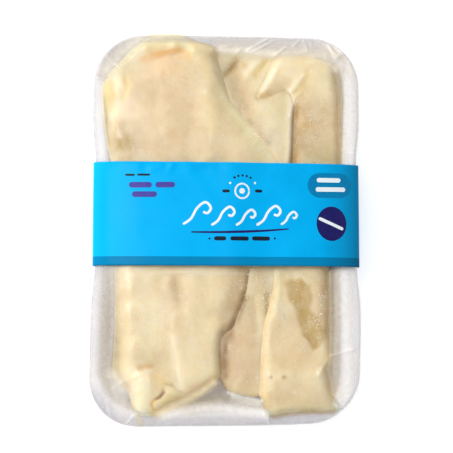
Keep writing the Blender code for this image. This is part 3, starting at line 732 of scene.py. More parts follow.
LEFT_PATCHES = routed(Patch, (
    (21, 0.85, OVAL, -36.3, 73.5, -34, 40),
    (9, 0.6, TAN, -54, 48, -54, 36),
    # Painted shade in the crease under the top lobe, in orange
    (2.3, 0.95, ORANGE, -45.4, 90.3, -40.1, 91.4, -34.5, 93, -28.9, 94.6, -24, 95.2, -22.1, 93.5),
    (3, 0.6, PEACH, -40, 88, -33, 89.8, -25, 91.6),
    # Painted highlights on the top lobe and along the right ridge
    (3.4, 0.8, LOBE_HIGHLIGHT, -45.7, 96.4, -40, 99, -33.4, 99.6, -26.8, 99.3, -21.1, 97),
    (5, 0.4, LOBE_HIGHLIGHT, -17.3, 95.5, -11.6, 87, -8.9, 77.4, -8.9, 67.8, -8.4, 57.3),
    (5, 0.7, THIN, -50, 98.5, -57, 89.8, -63.5, 82),
    (6, 0.5, PEACH, -37.5, 84, -28.4, 85),
    (4, 0.9, SOFT_YELLOW, -63, 74.5, -63.4, 64),
    # Painted shade on the left side of the flesh
    (4.2, 0.85, EDGE_SHADE_BEIGE, -65, 56, -63.4, 46, -62, 33),
    # Painted shade in a crease
    (1.6, 0.9, CREASE_SHADE_YELLOW, -54.3, 79.4, -53.5, 75.1, -55.3, 68),
    # Painted highlight: a pale band where the film catches the light
    (2.4, 0.4, PALE, -58.7, 79.5, -57.9, 73.2, -57.9, 62),
    (6, 0.6, GREENISH, -57.8, 86.1, -48.2, 95.1),
    (5, 1, SHADOW_GOLD, -56.6, 43.7, -56.2, 33.3),
    (5.5, 0.65, GREENISH, -2, 82.3, 1.3, 66, 11, 52.5, 18.5, 40.7),
    (7, 0.6, ROSE, -30.5, -33.5, -24.2, -36.7),
    (4, 0.7, TAN, -26.6, -32.5, -25.4, -38),
    # Painted highlight along the left ridge
    (9, 0.3, PALE, -48.6, -30, -48.3, -66),
    # Painted shade on the left side of the flesh
    (4.6, 0.85, EDGE_SHADE_BEIGE, -58.6, -20, -58.2, -45, -58.4, -70),
    # Painted highlight on the raised middle of the flap
    (9, 0.35, PALE, -16, -30, -18, -55, -16, -72),
    (8, 0.7, PALE, -40, -42, -42, -62),
    # Painted shade in the hollow above the tail
    (6, 0.6, GREY_YELLOW, -46, -70.2, -34, -70.2),
    (6, 0.9, GREY_YELLOW, -58, -72, -56, -81),
    # Painted highlight on the raised tail lump
    (6.5, 1, HIGHLIGHT_CREAM, -45.4, -80.6, -44.6, -95.5),
    # Painted shade in a groove of the tail
    (4, 0.5, CREASE_SHADE_YELLOW, -36.6, -79.5, -33.9, -82.7),
    # Painted shade in the groove at the tail's top
    (1.8, 0.7, SHADE_AMBER, -46.5, -74.4, -44.2, -73.9, -40, -73.5),
    # Painted highlight on a small raised flap of the tail
    (4.4, 0.8, LOBE_HIGHLIGHT, -36.5, -93, -28, -89.8),
    # Painted shade in the tail's slits
    (0.9, 0.95, BROWN, -33.4, -87, -35.7, -89.8, -37.4, -90.5),
    (0.9, 0.9, ORANGE, -38.4, -91.2, -39.7, -92.9, -38.8, -95.7, -37.1, -96.8),
    # Painted shade along the left piece's lower edge
    (1.8, 0.9, SHADE_AMBER, -39.5, -99.2, -36.5, -97.6, -31.8, -95.2, -24, -91.6),
    (2.4, 0.7, SHADE_AMBER, -24, -91.6, -15.9, -88.6, -9.8, -84, -5, -80.5),
    # Painted shade in the groove
    (0.8, 0.8, TAN, -32.9, -82.9, -28.4, -83.3, -26.3, -86.1, -22.4, -87.7),
    # Painted highlight along the flap's lit edge
    (2.6, 0.5, RIDGE_HIGHLIGHT, -28.4, -58.4, -28.1, -71.1, -26.7, -76.3, -24.9, -83.3, -22.8, -87.2),
    (5.5, 0.85, SHADED, 9.2, -24, 6.4, -38, 2.2, -52),
    # Painted shade near the piece's right edge
    (4, 0.6, TAN, 3.5, -32, 0.8, -40, -1.5, -47),
    # Painted shade in the gap between the left and middle pieces
    (2.4, 0.95, SEAM_SHADE_AMBER, 11.8, -25, 10.6, -32, 9, -38, 6, -45.5, 3.2, -52.3),
    (1.7, 0.55, BROWN, 5, -48, 1.8, -53.5, -1.6, -56.5),
    (1, 0.8, ROSE, -31.4, 43),
    (0.9, 0.8, ROSE, -22.9, 43.6),
))
MIDDLE_BACKS = (
    (-89.5, -2.6), (-80, -0.9), (-62, 0.2), (-52, 0.6), (-41, 0.8), (-21.5, 1), (6.5, 1.4), (33, 2.2), (46, 2.4),
    (58, 2.4), (66, 2.1), (71, 1.9), (75.5, 1.5), (80, 0.9), (86, 0.3), (95.5, -0.8),
)
MIDDLE_STROKES = routed(Stroke, (
    (6, -1.8, 4.6, 86, 6.1, 77, 9.9, 66.7),
    (1.8, 0.45, 8.3, 79.2, 13.2, 85.4, 18.1, 91.5),
    (1.3, 0.3, 35.6, 69.6, 34.6, 64.5, 33.2, 60, 33.4, 53, 33, 44, 32, 36),
    (1.6, -0.45, 15.8, 83.7, 20.2, 88.2, 22.6, 91.6),
    (1.6, -0.8, -1, 83.4, 2.1, 86.2, 5.7, 90.3),
    (8, 1, 18.6, 64.6, 25.6, 54.9, 29.3, 41.9),
    (6.5, 0.5, 10.3, -54.5, 10.7, -76.5),
    (2.2, -0.5, 14, -37.6, 16.1, -54.5),
    (1.6, -0.9, 21.7, -36.5, 22, -45.5),
    (5, 0.4, 18.3, -25.9, 19.3, -38.6),
    (1.4, 0.5, 4.4, -86.4, 8.6, -88, 15, -88.5),
))
MIDDLE_PATCHES = routed(Patch, (
    # Tan tone and painted shade in the hollow
    (7, 0.7, TAN, 2.4, 87, 5.6, 77, 10.5, 66.1),
    # Painted light on the top end of the middle piece
    (4, 0.8, PALE, -2, 95.5, 8, 95.5, 22, 93),
    # Painted shade in the golden crease near the top
    (1.5, 0.5, SHADE_AMBER, 4.5, 92.5, 8.5, 90.2, 10.2, 87),
    # Painted highlight along the raised ridge
    (1.4, 0.6, RIDGE_HIGHLIGHT, 9.8, 84.2, 12.4, 87.6, 15.8, 91.2),
    # Painted highlight on the raised fold
    (5, 0.6, PALE, 18.5, 66, 24.5, 57, 28.5, 47),
    # Painted shade along the seam with the left piece
    (1.8, 0.35, SEAM_SHADE_AMBER, 11.5, 57.5, 15.5, 52.5, 21.5, 45.5),
    (1.7, 0.9, SHADOW_GOLD, -1.4, 82.6, 1.6, 85.6, 4.6, 89),
    # Painted shade in the crease near the top
    (1.5, 0.9, CREASE_SHADE_YELLOW, 15.6, 84.1, 20.2, 89.2, 21.9, 91.6),
    # Painted shade in the gap between the left and middle pieces
    (2.2, 0.95, SEAM_SHADE_AMBER, -1, -57, -1.6, -68, -1.2, -79),
    (1.9, 0.95, SEAM_SHADE_AMBER, 9.4, -38, 6.8, -45.5, 3.8, -52.5, 2.8, -55, 0.4, -58.5),
    # Painted shade under the right piece's flap edge
    (2.4, 0.6, FLAP_SHADE_GOLD, 17, 70.4, 23.5, 72, 30, 74.6),
    # Painted shade in the valley between the middle and right pieces
    (1.2, 0.9, VALLEY_SHADE_AMBER, 35.9, 64, 35.2, 50, 34.4, 33),
    (11, 0.6, ROSE, 8.7, -51.9, 9.2, -80.7),
    # Painted shade beside and in the grooves of the slab
    (5, 0.35, SHADE_GOLD, 18.3, -23.8, 16.1, -41.3),
    (2, 0.7, SHADE_GOLD, 21.7, -36.5, 22, -45.5),
    (2.5, 0.5, GREY_YELLOW, 1.2, -85.4, 15, -88),
))
RIGHT_BACKS = (
    (-98, 0.5), (-80, 2.2), (-62, 2.3), (-52, 2.4), (-41, 2.4), (-21.5, 2.3), (6.5, 2), (33, 1.5), (46, 1.3),
    (58, 1.3), (66, 1.6), (71, 1.9), (75.5, 2.1), (80, 2.2), (86, 2.2), (94.5, 1),
)
RIGHT_STROKES = routed(Stroke, (
    (2.8, 0.3, 20, 75, 22.4, 79.8, 25.4, 85.2),
    (1, 0.5, 25.6, 93.5, 22.9, 89.5),
    (1.3, 0.55, 33.4, 73, 36.1, 75.8, 41.2, 82.6),
    (2.8, -0.35, 44.2, 83.3, 38.5, 74.3),
    (1.1, 0.55, 39.6, 73.2, 37.2, 71.3),
    (3.2, -0.5, 38.7, 62.8, 49, 64.1, 58.3, 60.9),
    (8, 0.5, 49.2, 88.3, 51.3, 74),
    (3, 0.1, 26.4, -38.1, 23.6, -50.8, 22.2, -61.3, 21.6, -73.4, 21.1, -90.6),
    (5, 0.5, 25.6, -79.7, 52.2, -78.7),
    (1.2, 0.8, 55, -68.7, 51.2, -73.4, 48.5, -77.6),
    (2.4, -0.8, 52.8, -75, 53.8, -77.1),
    (1.2, -0.25, 20.6, -80.6, 22.7, -88.8, 23.9, -94.5),
    (5, -0.35, 37.5, -34.3, 39.6, -41.7, 43.3, -52.3, 46.5, -59.7),
))
RIGHT_PATCHES = routed(Patch, (
    # Painted shade in the groove right of the raised ridge
    (2.8, 0.9, CREASE_SHADE_YELLOW, 43.6, 83.3, 37.9, 74.3),
    # Painted shade under the flap's lower edge
    (2.6, 0.65, SHADE_AMBER, 18.5, 71.2, 23.5, 73.4, 28, 76.2, 33, 80),
    # Painted highlights along the two raised ridges
    (1.6, 0.85, RIDGE_HIGHLIGHT, 19.4, 74.5, 21.9, 79.4, 25.2, 85.2),
    (1, 0.8, RIDGE_HIGHLIGHT, 33.2, 72.8, 36.1, 75.8, 41, 82.2),
    # Painted shade in the valley between the middle and right pieces
    (2, 0.9, VALLEY_SHADE_AMBER, 36.6, 66, 36.2, 50, 35.6, 33),
    # Painted shade right of the raised ridge
    (3.4, 0.35, SHADE_AMBER, 41.2, 77, 41.6, 63.6, 40.9, 52),
    # Painted shade along the right edge
    (3.2, 0.8, TAN, 60.5, 83.5, 61.5, 64.3, 61.8, 36.9),
    (4.6, 0.9, OLIVE, 46.1, 38.9, 53.7, 38.4),
    (3.5, 0.6, TAN, 39.1, 45.3, 42.4, 44.3),
    (2, 0.4, ORANGE, 40.8, 55.7, 45.1, 54.7),
    (9, 0.55, TAN, 47.9, 57.5, 48.9, 47.6),
    (7, 0.45, TAN, 23.4, -92.2, 54.3, -92.3),
    # Painted shadow line along the right piece's lower edge
    (1.2, 0.95, LOWER_EDGE_SHADE, 22.6, -100.2, 29.8, -98.8, 43.5, -97.9, 56.5, -97.6),
    # Painted highlight on the raised band across the right piece
    (4, 0.5, PALE, 24.5, -79.7, 50.1, -78.7),
    (8, 0.35, HONEY, 26, -71, 46, -70),
    (1, 0.7, BROWN, 22.9, -79.3),
    (1.1, 0.7, BROWN, 29.5, -79.3),
    (0.9, 0.9, ROSE, 56.2, 75.2),
    (0.9, 0.9, ROSE, 46.3, 59.1),
    (0.6, 0.8, RED_BROWN, 40.9, -57.1, 44.1, -60.8),
    (4, 0.8, SHADED, 51, -22, 51.6, -38.5, 52.2, -56),
    # Painted highlight on the upper flap
    (7, 0.6, HIGHLIGHT_CREAM, 30, 88, 34.5, 80),
    # Painted highlight on the raised top of the right piece
    (8, 0.5, PALE, 46, 88, 50, 78),
))
COD_LEFT = Cod("cod_left", 11, LEFT_OUTLINE, LEFT_BACKS, LEFT_STROKES, LEFT_STEPS, LEFT_PATCHES)
COD_MIDDLE = Cod("cod_middle", 23, MIDDLE_OUTLINE, MIDDLE_BACKS, MIDDLE_STROKES, (), MIDDLE_PATCHES)
COD_RIGHT = Cod("cod_right", 37, RIGHT_OUTLINE, RIGHT_BACKS, RIGHT_STROKES, (), RIGHT_PATCHES)
COD_PIECES = (COD_LEFT, COD_MIDDLE, COD_RIGHT)

# Where the pieces' shoulders are steeper or gentler, by the share of their run
SHOULDER_RUNS = routed(Share, (
    (6, 0.45, 36.2, 72, 35.8, 60, 35.3, 47, 34.7, 33),
    (5, 0.45, -3.4, -60, -3, -70, -3, -80),
    (9, 1.7, -60, -20, -60, -45, -60, -66),
    (9, 1.7, -66, 60, -64, 45, -62, 33),
    (5, 0.7, 56.5, -30, 56.5, -60),
))
# Where two pieces meet lower than the lower one's back, by that depth
VALLEYS = routed(Share, (
    (5, 0.9, 36.4, 66, 35.8, 60, 35.3, 47, 34.7, 33),
    (6, 1, -3.4, -60, -3, -70, -3, -80),
    (3, 1, 3.2, -53.8, -1.2, -57.2),
    (4, 0.5, 18.5, 71, 24, 72.4, 31, 75.2),
))

GEL_OUTLINE = (
    (31.5, -30.2), (35.4, -27.2), (42.2, -29.1), (45.1, -35.9), (44, -43.6), (48.9, -48.4), (51.3, -55.2),
    (49.8, -60.9), (46.3, -64.7), (42.5, -60), (38.1, -53.2), (36.7, -43.6), (33.4, -38.8),
)


def to_outline(x, y, outline):
    """Signed distance to a closed outline (positive inside), and the further values of its nearest point."""
    x, y = np.asarray(x, dtype=float), np.asarray(y, dtype=float)
    nearest = np.full(x.shape, np.inf)
    values = np.zeros((len(outline[0]) - 2, *x.shape))
    inside = np.zeros(x.shape, dtype=bool)
    for a, b in zip(outline, np.roll(outline, -1, axis=0)):
        run_x, run_y = b[0] - a[0], b[1] - a[1]
        share = np.clip(((x - a[0]) * run_x + (y - a[1]) * run_y) / (run_x**2 + run_y**2), 0.0, 1.0)
        distance = (x - a[0] - share * run_x) ** 2 + (y - a[1] - share * run_y) ** 2
        closer = distance < nearest
        nearest = np.where(closer, distance, nearest)
        for k in range(len(values)):
            values[k] = np.where(closer, a[2 + k] + (b[2 + k] - a[2 + k]) * share, values[k])
        if run_y:
            inside ^= ((a[1] > y) != (b[1] > y)) & (x < a[0] + run_x * (y - a[1]) / run_y)
    distance = np.sqrt(nearest)
    return np.where(inside, distance, -distance), values


def fitted_beside(outline, others):
    """Moves an outline's points close beside a neighbour, or within it, so that they press a little into its edge."""
    outline = np.column_stack([outline, np.zeros(len(outline))])
    for other in others:
        x, y = outline[:, 0], outline[:, 1]
        signed = to_outline(x, y, other)[0]
        slope_x, slope_y = (
            (to_outline(x + dx, y + dy, other)[0] - to_outline(x - dx, y - dy, other)[0]) / (2 * PROBE)
            for dx, dy in ((PROBE, 0.0), (0.0, PROBE))
        )
        size = np.maximum(np.hypot(slope_x, slope_y), 0.5)
        move = (signed - PRESS) * smooth_share((signed + 2 * SNAP) / SNAP)
        outline[:, 0] = x - slope_x / size * move
        outline[:, 1] = y - slope_y / size * move
    return outline


OUTLINES = {}
for piece in COD_PIECES:
    curve = smooth_route(piece.outline, OUTLINE_STEP, closed=True)
    OUTLINES[piece.name] = fitted_beside(curve, list(OUTLINES.values()))
GEL_CURVE = smooth_route(GEL_OUTLINE, 1.0, closed=True)


def back_height(y, backs):
    """A smooth curve through the heights of a piece's back."""
    ys, values = np.array(backs, dtype=float).T
    slopes = np.gradient(values, ys)
    y = np.clip(y, ys[0], ys[-1])
    i = np.clip(np.searchsorted(ys, y) - 1, 0, len(ys) - 2)
    step = ys[i + 1] - ys[i]
    t = (y - ys[i]) / step
    start = (2 * t**3 - 3 * t**2 + 1) * values[i] + (t**3 - 2 * t**2 + t) * step * slopes[i]
    return start + (3 * t**2 - 2 * t**3) * values[i + 1] + (t**3 - t**2) * step * slopes[i + 1]


def back_top(x, y, cod):
    """The height of a piece's back, before its shoulders round off."""
    height = RIM_Z + back_height(y, cod.backs) + strokes_height(x, y, cod.strokes, cod.steps)
    for k, (rise, size) in enumerate(FLESH_BUMPS):
        height = height + rise * value_noise(x, y, size, cod.seed + k)
    return height


def meet(cod, other):
    """Sets the drops of a piece's shoulders beside another piece, so that both edges end at one height."""
    outline = OUTLINES[cod.name]
    x, y = outline[:, 0], outline[:, 1]
    beside = smooth_share(SEAM_REACH + to_outline(x, y, OUTLINES[other.name])[0])
    depth = np.full(len(x), SEAM_DEPTH)
    for valley in VALLEYS:
        depth = np.maximum(depth, valley.share * near_route(x, y, valley.route, valley.radius))
    own = back_top(x, y, cod)
    drop = own - np.minimum(own, back_top(x, y, other)) + depth
    outline[:, 2] += (drop - outline[:, 2]) * beside
    outline[:, 3] = np.maximum(outline[:, 3], beside)
    for _ in range(SEAM_BLUR):
        outline[:, 2:] = (np.roll(outline, 1, axis=0) + 2 * outline + np.roll(outline, -1, axis=0))[:, 2:] / 4


for pair in ((COD_LEFT, COD_MIDDLE), (COD_MIDDLE, COD_LEFT), (COD_MIDDLE, COD_RIGHT), (COD_RIGHT, COD_MIDDLE)):
    meet(*pair)


def cod_top(x, y, cod):
    """The height of a piece's upper face, the signed distance to its outline and how far a seam runs there."""
    inside, (drop, seam) = to_outline(x, y, OUTLINES[cod.name])
    reach = SHOULDER_START + SHOULDER_SHARE * drop
    for run in SHOULDER_RUNS:
        reach = reach * (1.0 + (run.share - 1.0) * near_route(x, y, run.route, run.radius))
    short = np.clip(1.0 - inside / reach, 0.0, 1.0)
    height = back_top(x, y, cod) - drop * (round_off(short) * (1.0 - seam) + short**SEAM_POWER * seam)
    return np.maximum(height, tray_height(x, y) + GAP + LEAST_FLESH), inside, seam


def triangulated(outline, inner):
    """Triangles over the outline's points followed by the inner ones."""
    points = [Vector((float(p[0]), float(p[1]))) for p in [*outline, *inner]]
    result = delaunay_2d_cdt(points, [], [tuple(range(len(outline)))], 1, 1e-6)
    return np.array([tuple(v) for v in result[0]]), [tuple(f) for f in result[2]]


def grid_inside(outline, step, margin, seed):
    """Points of a slightly shaken grid inside the outline."""
    low, high = outline[:, :2].min(axis=0), outline[:, :2].max(axis=0)
    x, y = np.meshgrid(np.arange(low[0], high[0], step), np.arange(low[1], high[1], step * 0.866))
    x = x + (np.arange(x.shape[0]) % 2)[:, None] * step / 2
    random = np.random.default_rng(seed)
    x, y = (values + random.uniform(-SHAKE, SHAKE, x.shape) * step for values in (x, y))
    keep = to_outline(x, y, outline)[0] > margin
    return np.stack([x[keep], y[keep]], axis=-1)


def inward_normals(outline):
    """Unit normals of a closed outline that point to its inside."""
    run = np.roll(outline[:, :2], -1, axis=0) - np.roll(outline[:, :2], 1, axis=0)
    normal = np.stack([-run[:, 1], run[:, 0]], axis=-1)
    normal /= np.linalg.norm(normal, axis=1)[:, None]
    area = np.sum(outline[:, 0] * np.roll(outline[:, 1], -1) - outline[:, 1] * np.roll(outline[:, 0], -1))
    return normal if area > 0 else -normal


# Colours in clouds over all the flesh: strength, size of the clouds, share where the noise is 0 and its slope
FLESH_CLOUDS = ((PALE, 0.45, 19.0, 0.5, 0.9), (PINK, 0.40, 13.0, 0.5, 0.9), (GREENISH, 0.30, 9.0, 0.0, 1.0))


def flesh_tint(x, y, cod, inside, seam, relief):
    """The colour of the flesh at points of a piece, with painted shade and highlights, and, as the fourth value, how
    far light scatters there.
    """
    tint = np.tile(np.array(CREAM[:3]), (len(x), 1))

    def lay(colour, weight):
        tint[:] += (np.array(colour[:3]) - tint) * np.clip(weight, 0.0, 1.0)[:, None]

    for k, (colour, strength, size, middle, slope) in enumerate(FLESH_CLOUDS):
        lay(colour, strength * smooth_share(middle + slope * value_noise(x, y, size, cod.seed + 5 + k)))
    # Painted shade in the hollows and painted highlights on the rises
    lay(SHADE_AMBER, 0.55 * smooth_share(-relief / RELIEF_SPAN))
    lay(HIGHLIGHT_CREAM, 0.45 * smooth_share(relief / RELIEF_SPAN))
    ragged = 1.0 + 0.25 * value_noise(x, y, 4.0, cod.seed + 8)
    for patch in cod.patches:
        lay(patch.colour, patch.strength * near_route(x, y, patch.route, patch.radius * ragged))
    if cod is COD_RIGHT:
        gel = to_outline(x, y, GEL_CURVE)[0] + 0.9 * value_noise(x, y, 3.0, 5)
        lay(GEL, 0.95 * smooth_share(gel / 2.6 + 0.5))
    # Painted shade along the pieces' shoulders and along the seams between pieces
    lay(SHADE_GOLD, 0.25 * bell(inside, 1.4) * (1.0 - seam))
    lay(HONEY, 0.35 * bell(inside, 0.9) * seam)
    return np.column_stack([tint, 1.0 - seam * bell(inside, CLEAR_OF_SEAM)])


def relief_field(cod):
    """How far a piece's face stands above its surroundings, on a grid."""
    outline = OUTLINES[cod.name]
    low, high = outline[:, :2].min(axis=0) - 2.0, outline[:, :2].max(axis=0) + 2.0
    xs, ys = np.arange(low[0], high[0], 1.0), np.arange(low[1], high[1], 1.0)
    top, inside, _ = cod_top(*np.meshgrid(xs, ys), cod)
    weight = (inside > 0.0).astype(float)
    total, blurred = weight.copy(), top * weight
    for _ in range(RELIEF_BLURS):
        for axis in (0, 1):
            total, blurred = ((np.roll(f, 1, axis) + f + np.roll(f, -1, axis)) / 3 for f in (total, blurred))
    return xs, ys, np.where(weight > 0, top - blurred / np.maximum(total, 1e-6), 0.0)


def make_cod(cod, surface):
    """A closed slab: a sculpted back, rounded sides and a base that lies on the tray."""
    outline = OUTLINES[cod.name]
    count = len(outline)
    flat, faces = triangulated(outline, grid_inside(outline, GRID_STEP, GRID_MARGIN, cod.seed))
    first = len(flat)
    top_z, inside, seam = cod_top(flat[:, 0], flat[:, 1], cod)
    points = [np.column_stack([flat, top_z])]
    edge_z = top_z[:count]
    normals = inward_normals(outline)
    base_xy = outline[:, :2] + normals * UNDERCUT
    base_z = np.minimum(tray_height(base_xy[:, 0], base_xy[:, 1]) + GAP, edge_z - LEAST_SIDE)
    for t in np.linspace(0.0, 1.0, SIDE_RINGS + 1)[1:]:
        xy = outline[:, :2] + normals * (UNDERCUT * t**2 - SIDE_BULGE * math.sin(math.pi * t))
        points.append(np.column_stack([xy, edge_z + (base_z - edge_z) * t]))
    after = [(k + 1) % count for k in range(count)]
    faces += [(k, after[k], first + after[k], first + k) for k in range(count)]
    faces += ring_faces(SIDE_RINGS, count, first=first)
    base_start = first + (SIDE_RINGS - 1) * count
    base_flat, base_faces = triangulated(base_xy, grid_inside(base_xy, BASE_STEP, BASE_MARGIN, cod.seed))
    extra = base_flat[count:]
    points.append(np.column_stack([extra, tray_height(extra[:, 0], extra[:, 1]) + GAP]))
    faces += [tuple(base_start + i for i in face) for face in base_faces]
    points = np.concatenate(points)
    relief = field_value(points[:, 0], points[:, 1], relief_field(cod))
    inside, seam = (np.concatenate([values, np.zeros(len(points) - first)]) for values in (inside, seam))
    tint = flesh_tint(points[:, 0], points[:, 1], cod, inside, seam, relief)
    sharp = [(k, after[k]) for k in range(count) if outline[k, 3] > 0.5]
    return new_piece(f"{cod.name}_flesh", points, faces, surface, cod.name, tint, sharp)


# The film

FILM_COLUMNS = 210
FILM_ROWS = 300
FIELD_STEP = 1.0
SETTLE_STEPS = 1500
FILM_LIFT = 0.3
FILM_CLING = 0.22
SKIRT_STEPS = 10
CORNER_REACH = 0.35  # how far the pleats of a corner reach, as a share of the outline's half side
PLEAT_SIZE = 3.4
PLEAT_RISE = 0.10
CORNER_PLEAT_RISE = 0.55
WAVE_SIZE = 9.0
WAVE_RISE = 0.18
DEEPEST_PLEAT = -0.2
FOLD_SIZE = 6.0
FOLD_RISE = 0.2
RIM_GREY_REACH = 6.5  # how far inside the rim's outer edge its milk and painted shade end
RIM_GREY_FADE = 3.0
LIP_REACH = 0.9
SEAM_RINGS = 8

WRINKLES = routed(Stroke, (
    (0.8, 0.12, -39.5, -25, -14.6, -24.7, 12.1, -24.8),
    (0.5, 0.2, -66.7, 93.1, -62.6, 88.9, -58.4, 85.2),
    (0.5, 0.15, -60.1, 99.3, -57.8, 96.3),
    (1.2, 0.8, 58.9, 100.5, 62.7, 95.6, 67.1, 91.2),
    (0.9, 0.6, 55.1, 101, 59.4, 93.3, 62.6, 86.7),
    (1, 0.6, 64.4, 97.8, 57.7, 91),
    (0.6, 0.4, -49.2, -98.9, -51, -101, -53.2, -103.6),
    (0.6, 0.2, -62.5, -90.9, -61.4, -96.1, -61.3, -101.2),
    (0.6, 0.15, -53.2, -80.6, -58.4, -84.7, -62.5, -88.3),
    (0.9, 0.6, 58.2, -95, 63.6, -97.7, 66.2, -98.7),
    (0.9, 0.5, 55.3, -67.9, 61.2, -66.1, 66.6, -65),
    (0.7, 0.6, 11.3, 96.7, 15, 99.5, 21, 102.4),
    (0.7, 0.5, 13.1, 95.8, 18.5, 98.2, 24, 102),
    (0.8, 0.5, -2.7, 97.8, 1.8, 98.7),
    (0.7, 0.5, 26.2, 94.2, 29.3, 96.6, 30.7, 98),
    (0.7, 0.35, 35.8, 99.5, 39, 102.8),
    (0.9, 0.3, 41.2, 101.9, 43.9, 96.9),
    (0.9, 0.3, 45.8, 102, 46.2, 96.5),
    (1, 0.7, 58.5, 95.4, 62.6, 93.6),
    (0.7, 0.5, 56.7, 100.9, 61.3, 96.8),
    (0.7, 0.4, 63.8, 97.7, 68.1, 90.6),
    (0.9, 0.5, -2.9, 87.6, 2.5, 91, 6.9, 96.6),
    (0.8, 0.4, 0.3, 82.7, 5.8, 87.8),
    (1, 0.7, 0.3, -88, 8.2, -90.7, 18.3, -92.6, 21.4, -101.5),
    (0.7, 0.5, 2.4, -88.5, 7.2, -90.1, 16.2, -90.6),
))

# Colours on the film: its milkiness, and painted highlights and shade
MILKY_HIGHLIGHT = (0.9, 0.89, 0.88)
WHITE_MILK_AND_LIGHT = (0.97, 0.94, 0.91)
FLESHY_MILK_AND_LIGHT = (0.88, 0.82, 0.68)
CREAMY_MILK_AND_LIGHT = (0.96, 0.88, 0.72)
GOLDEN_MILK = (0.74, 0.58, 0.3)
AMBER_EDGE_SHADE = (0.76, 0.6, 0.34)
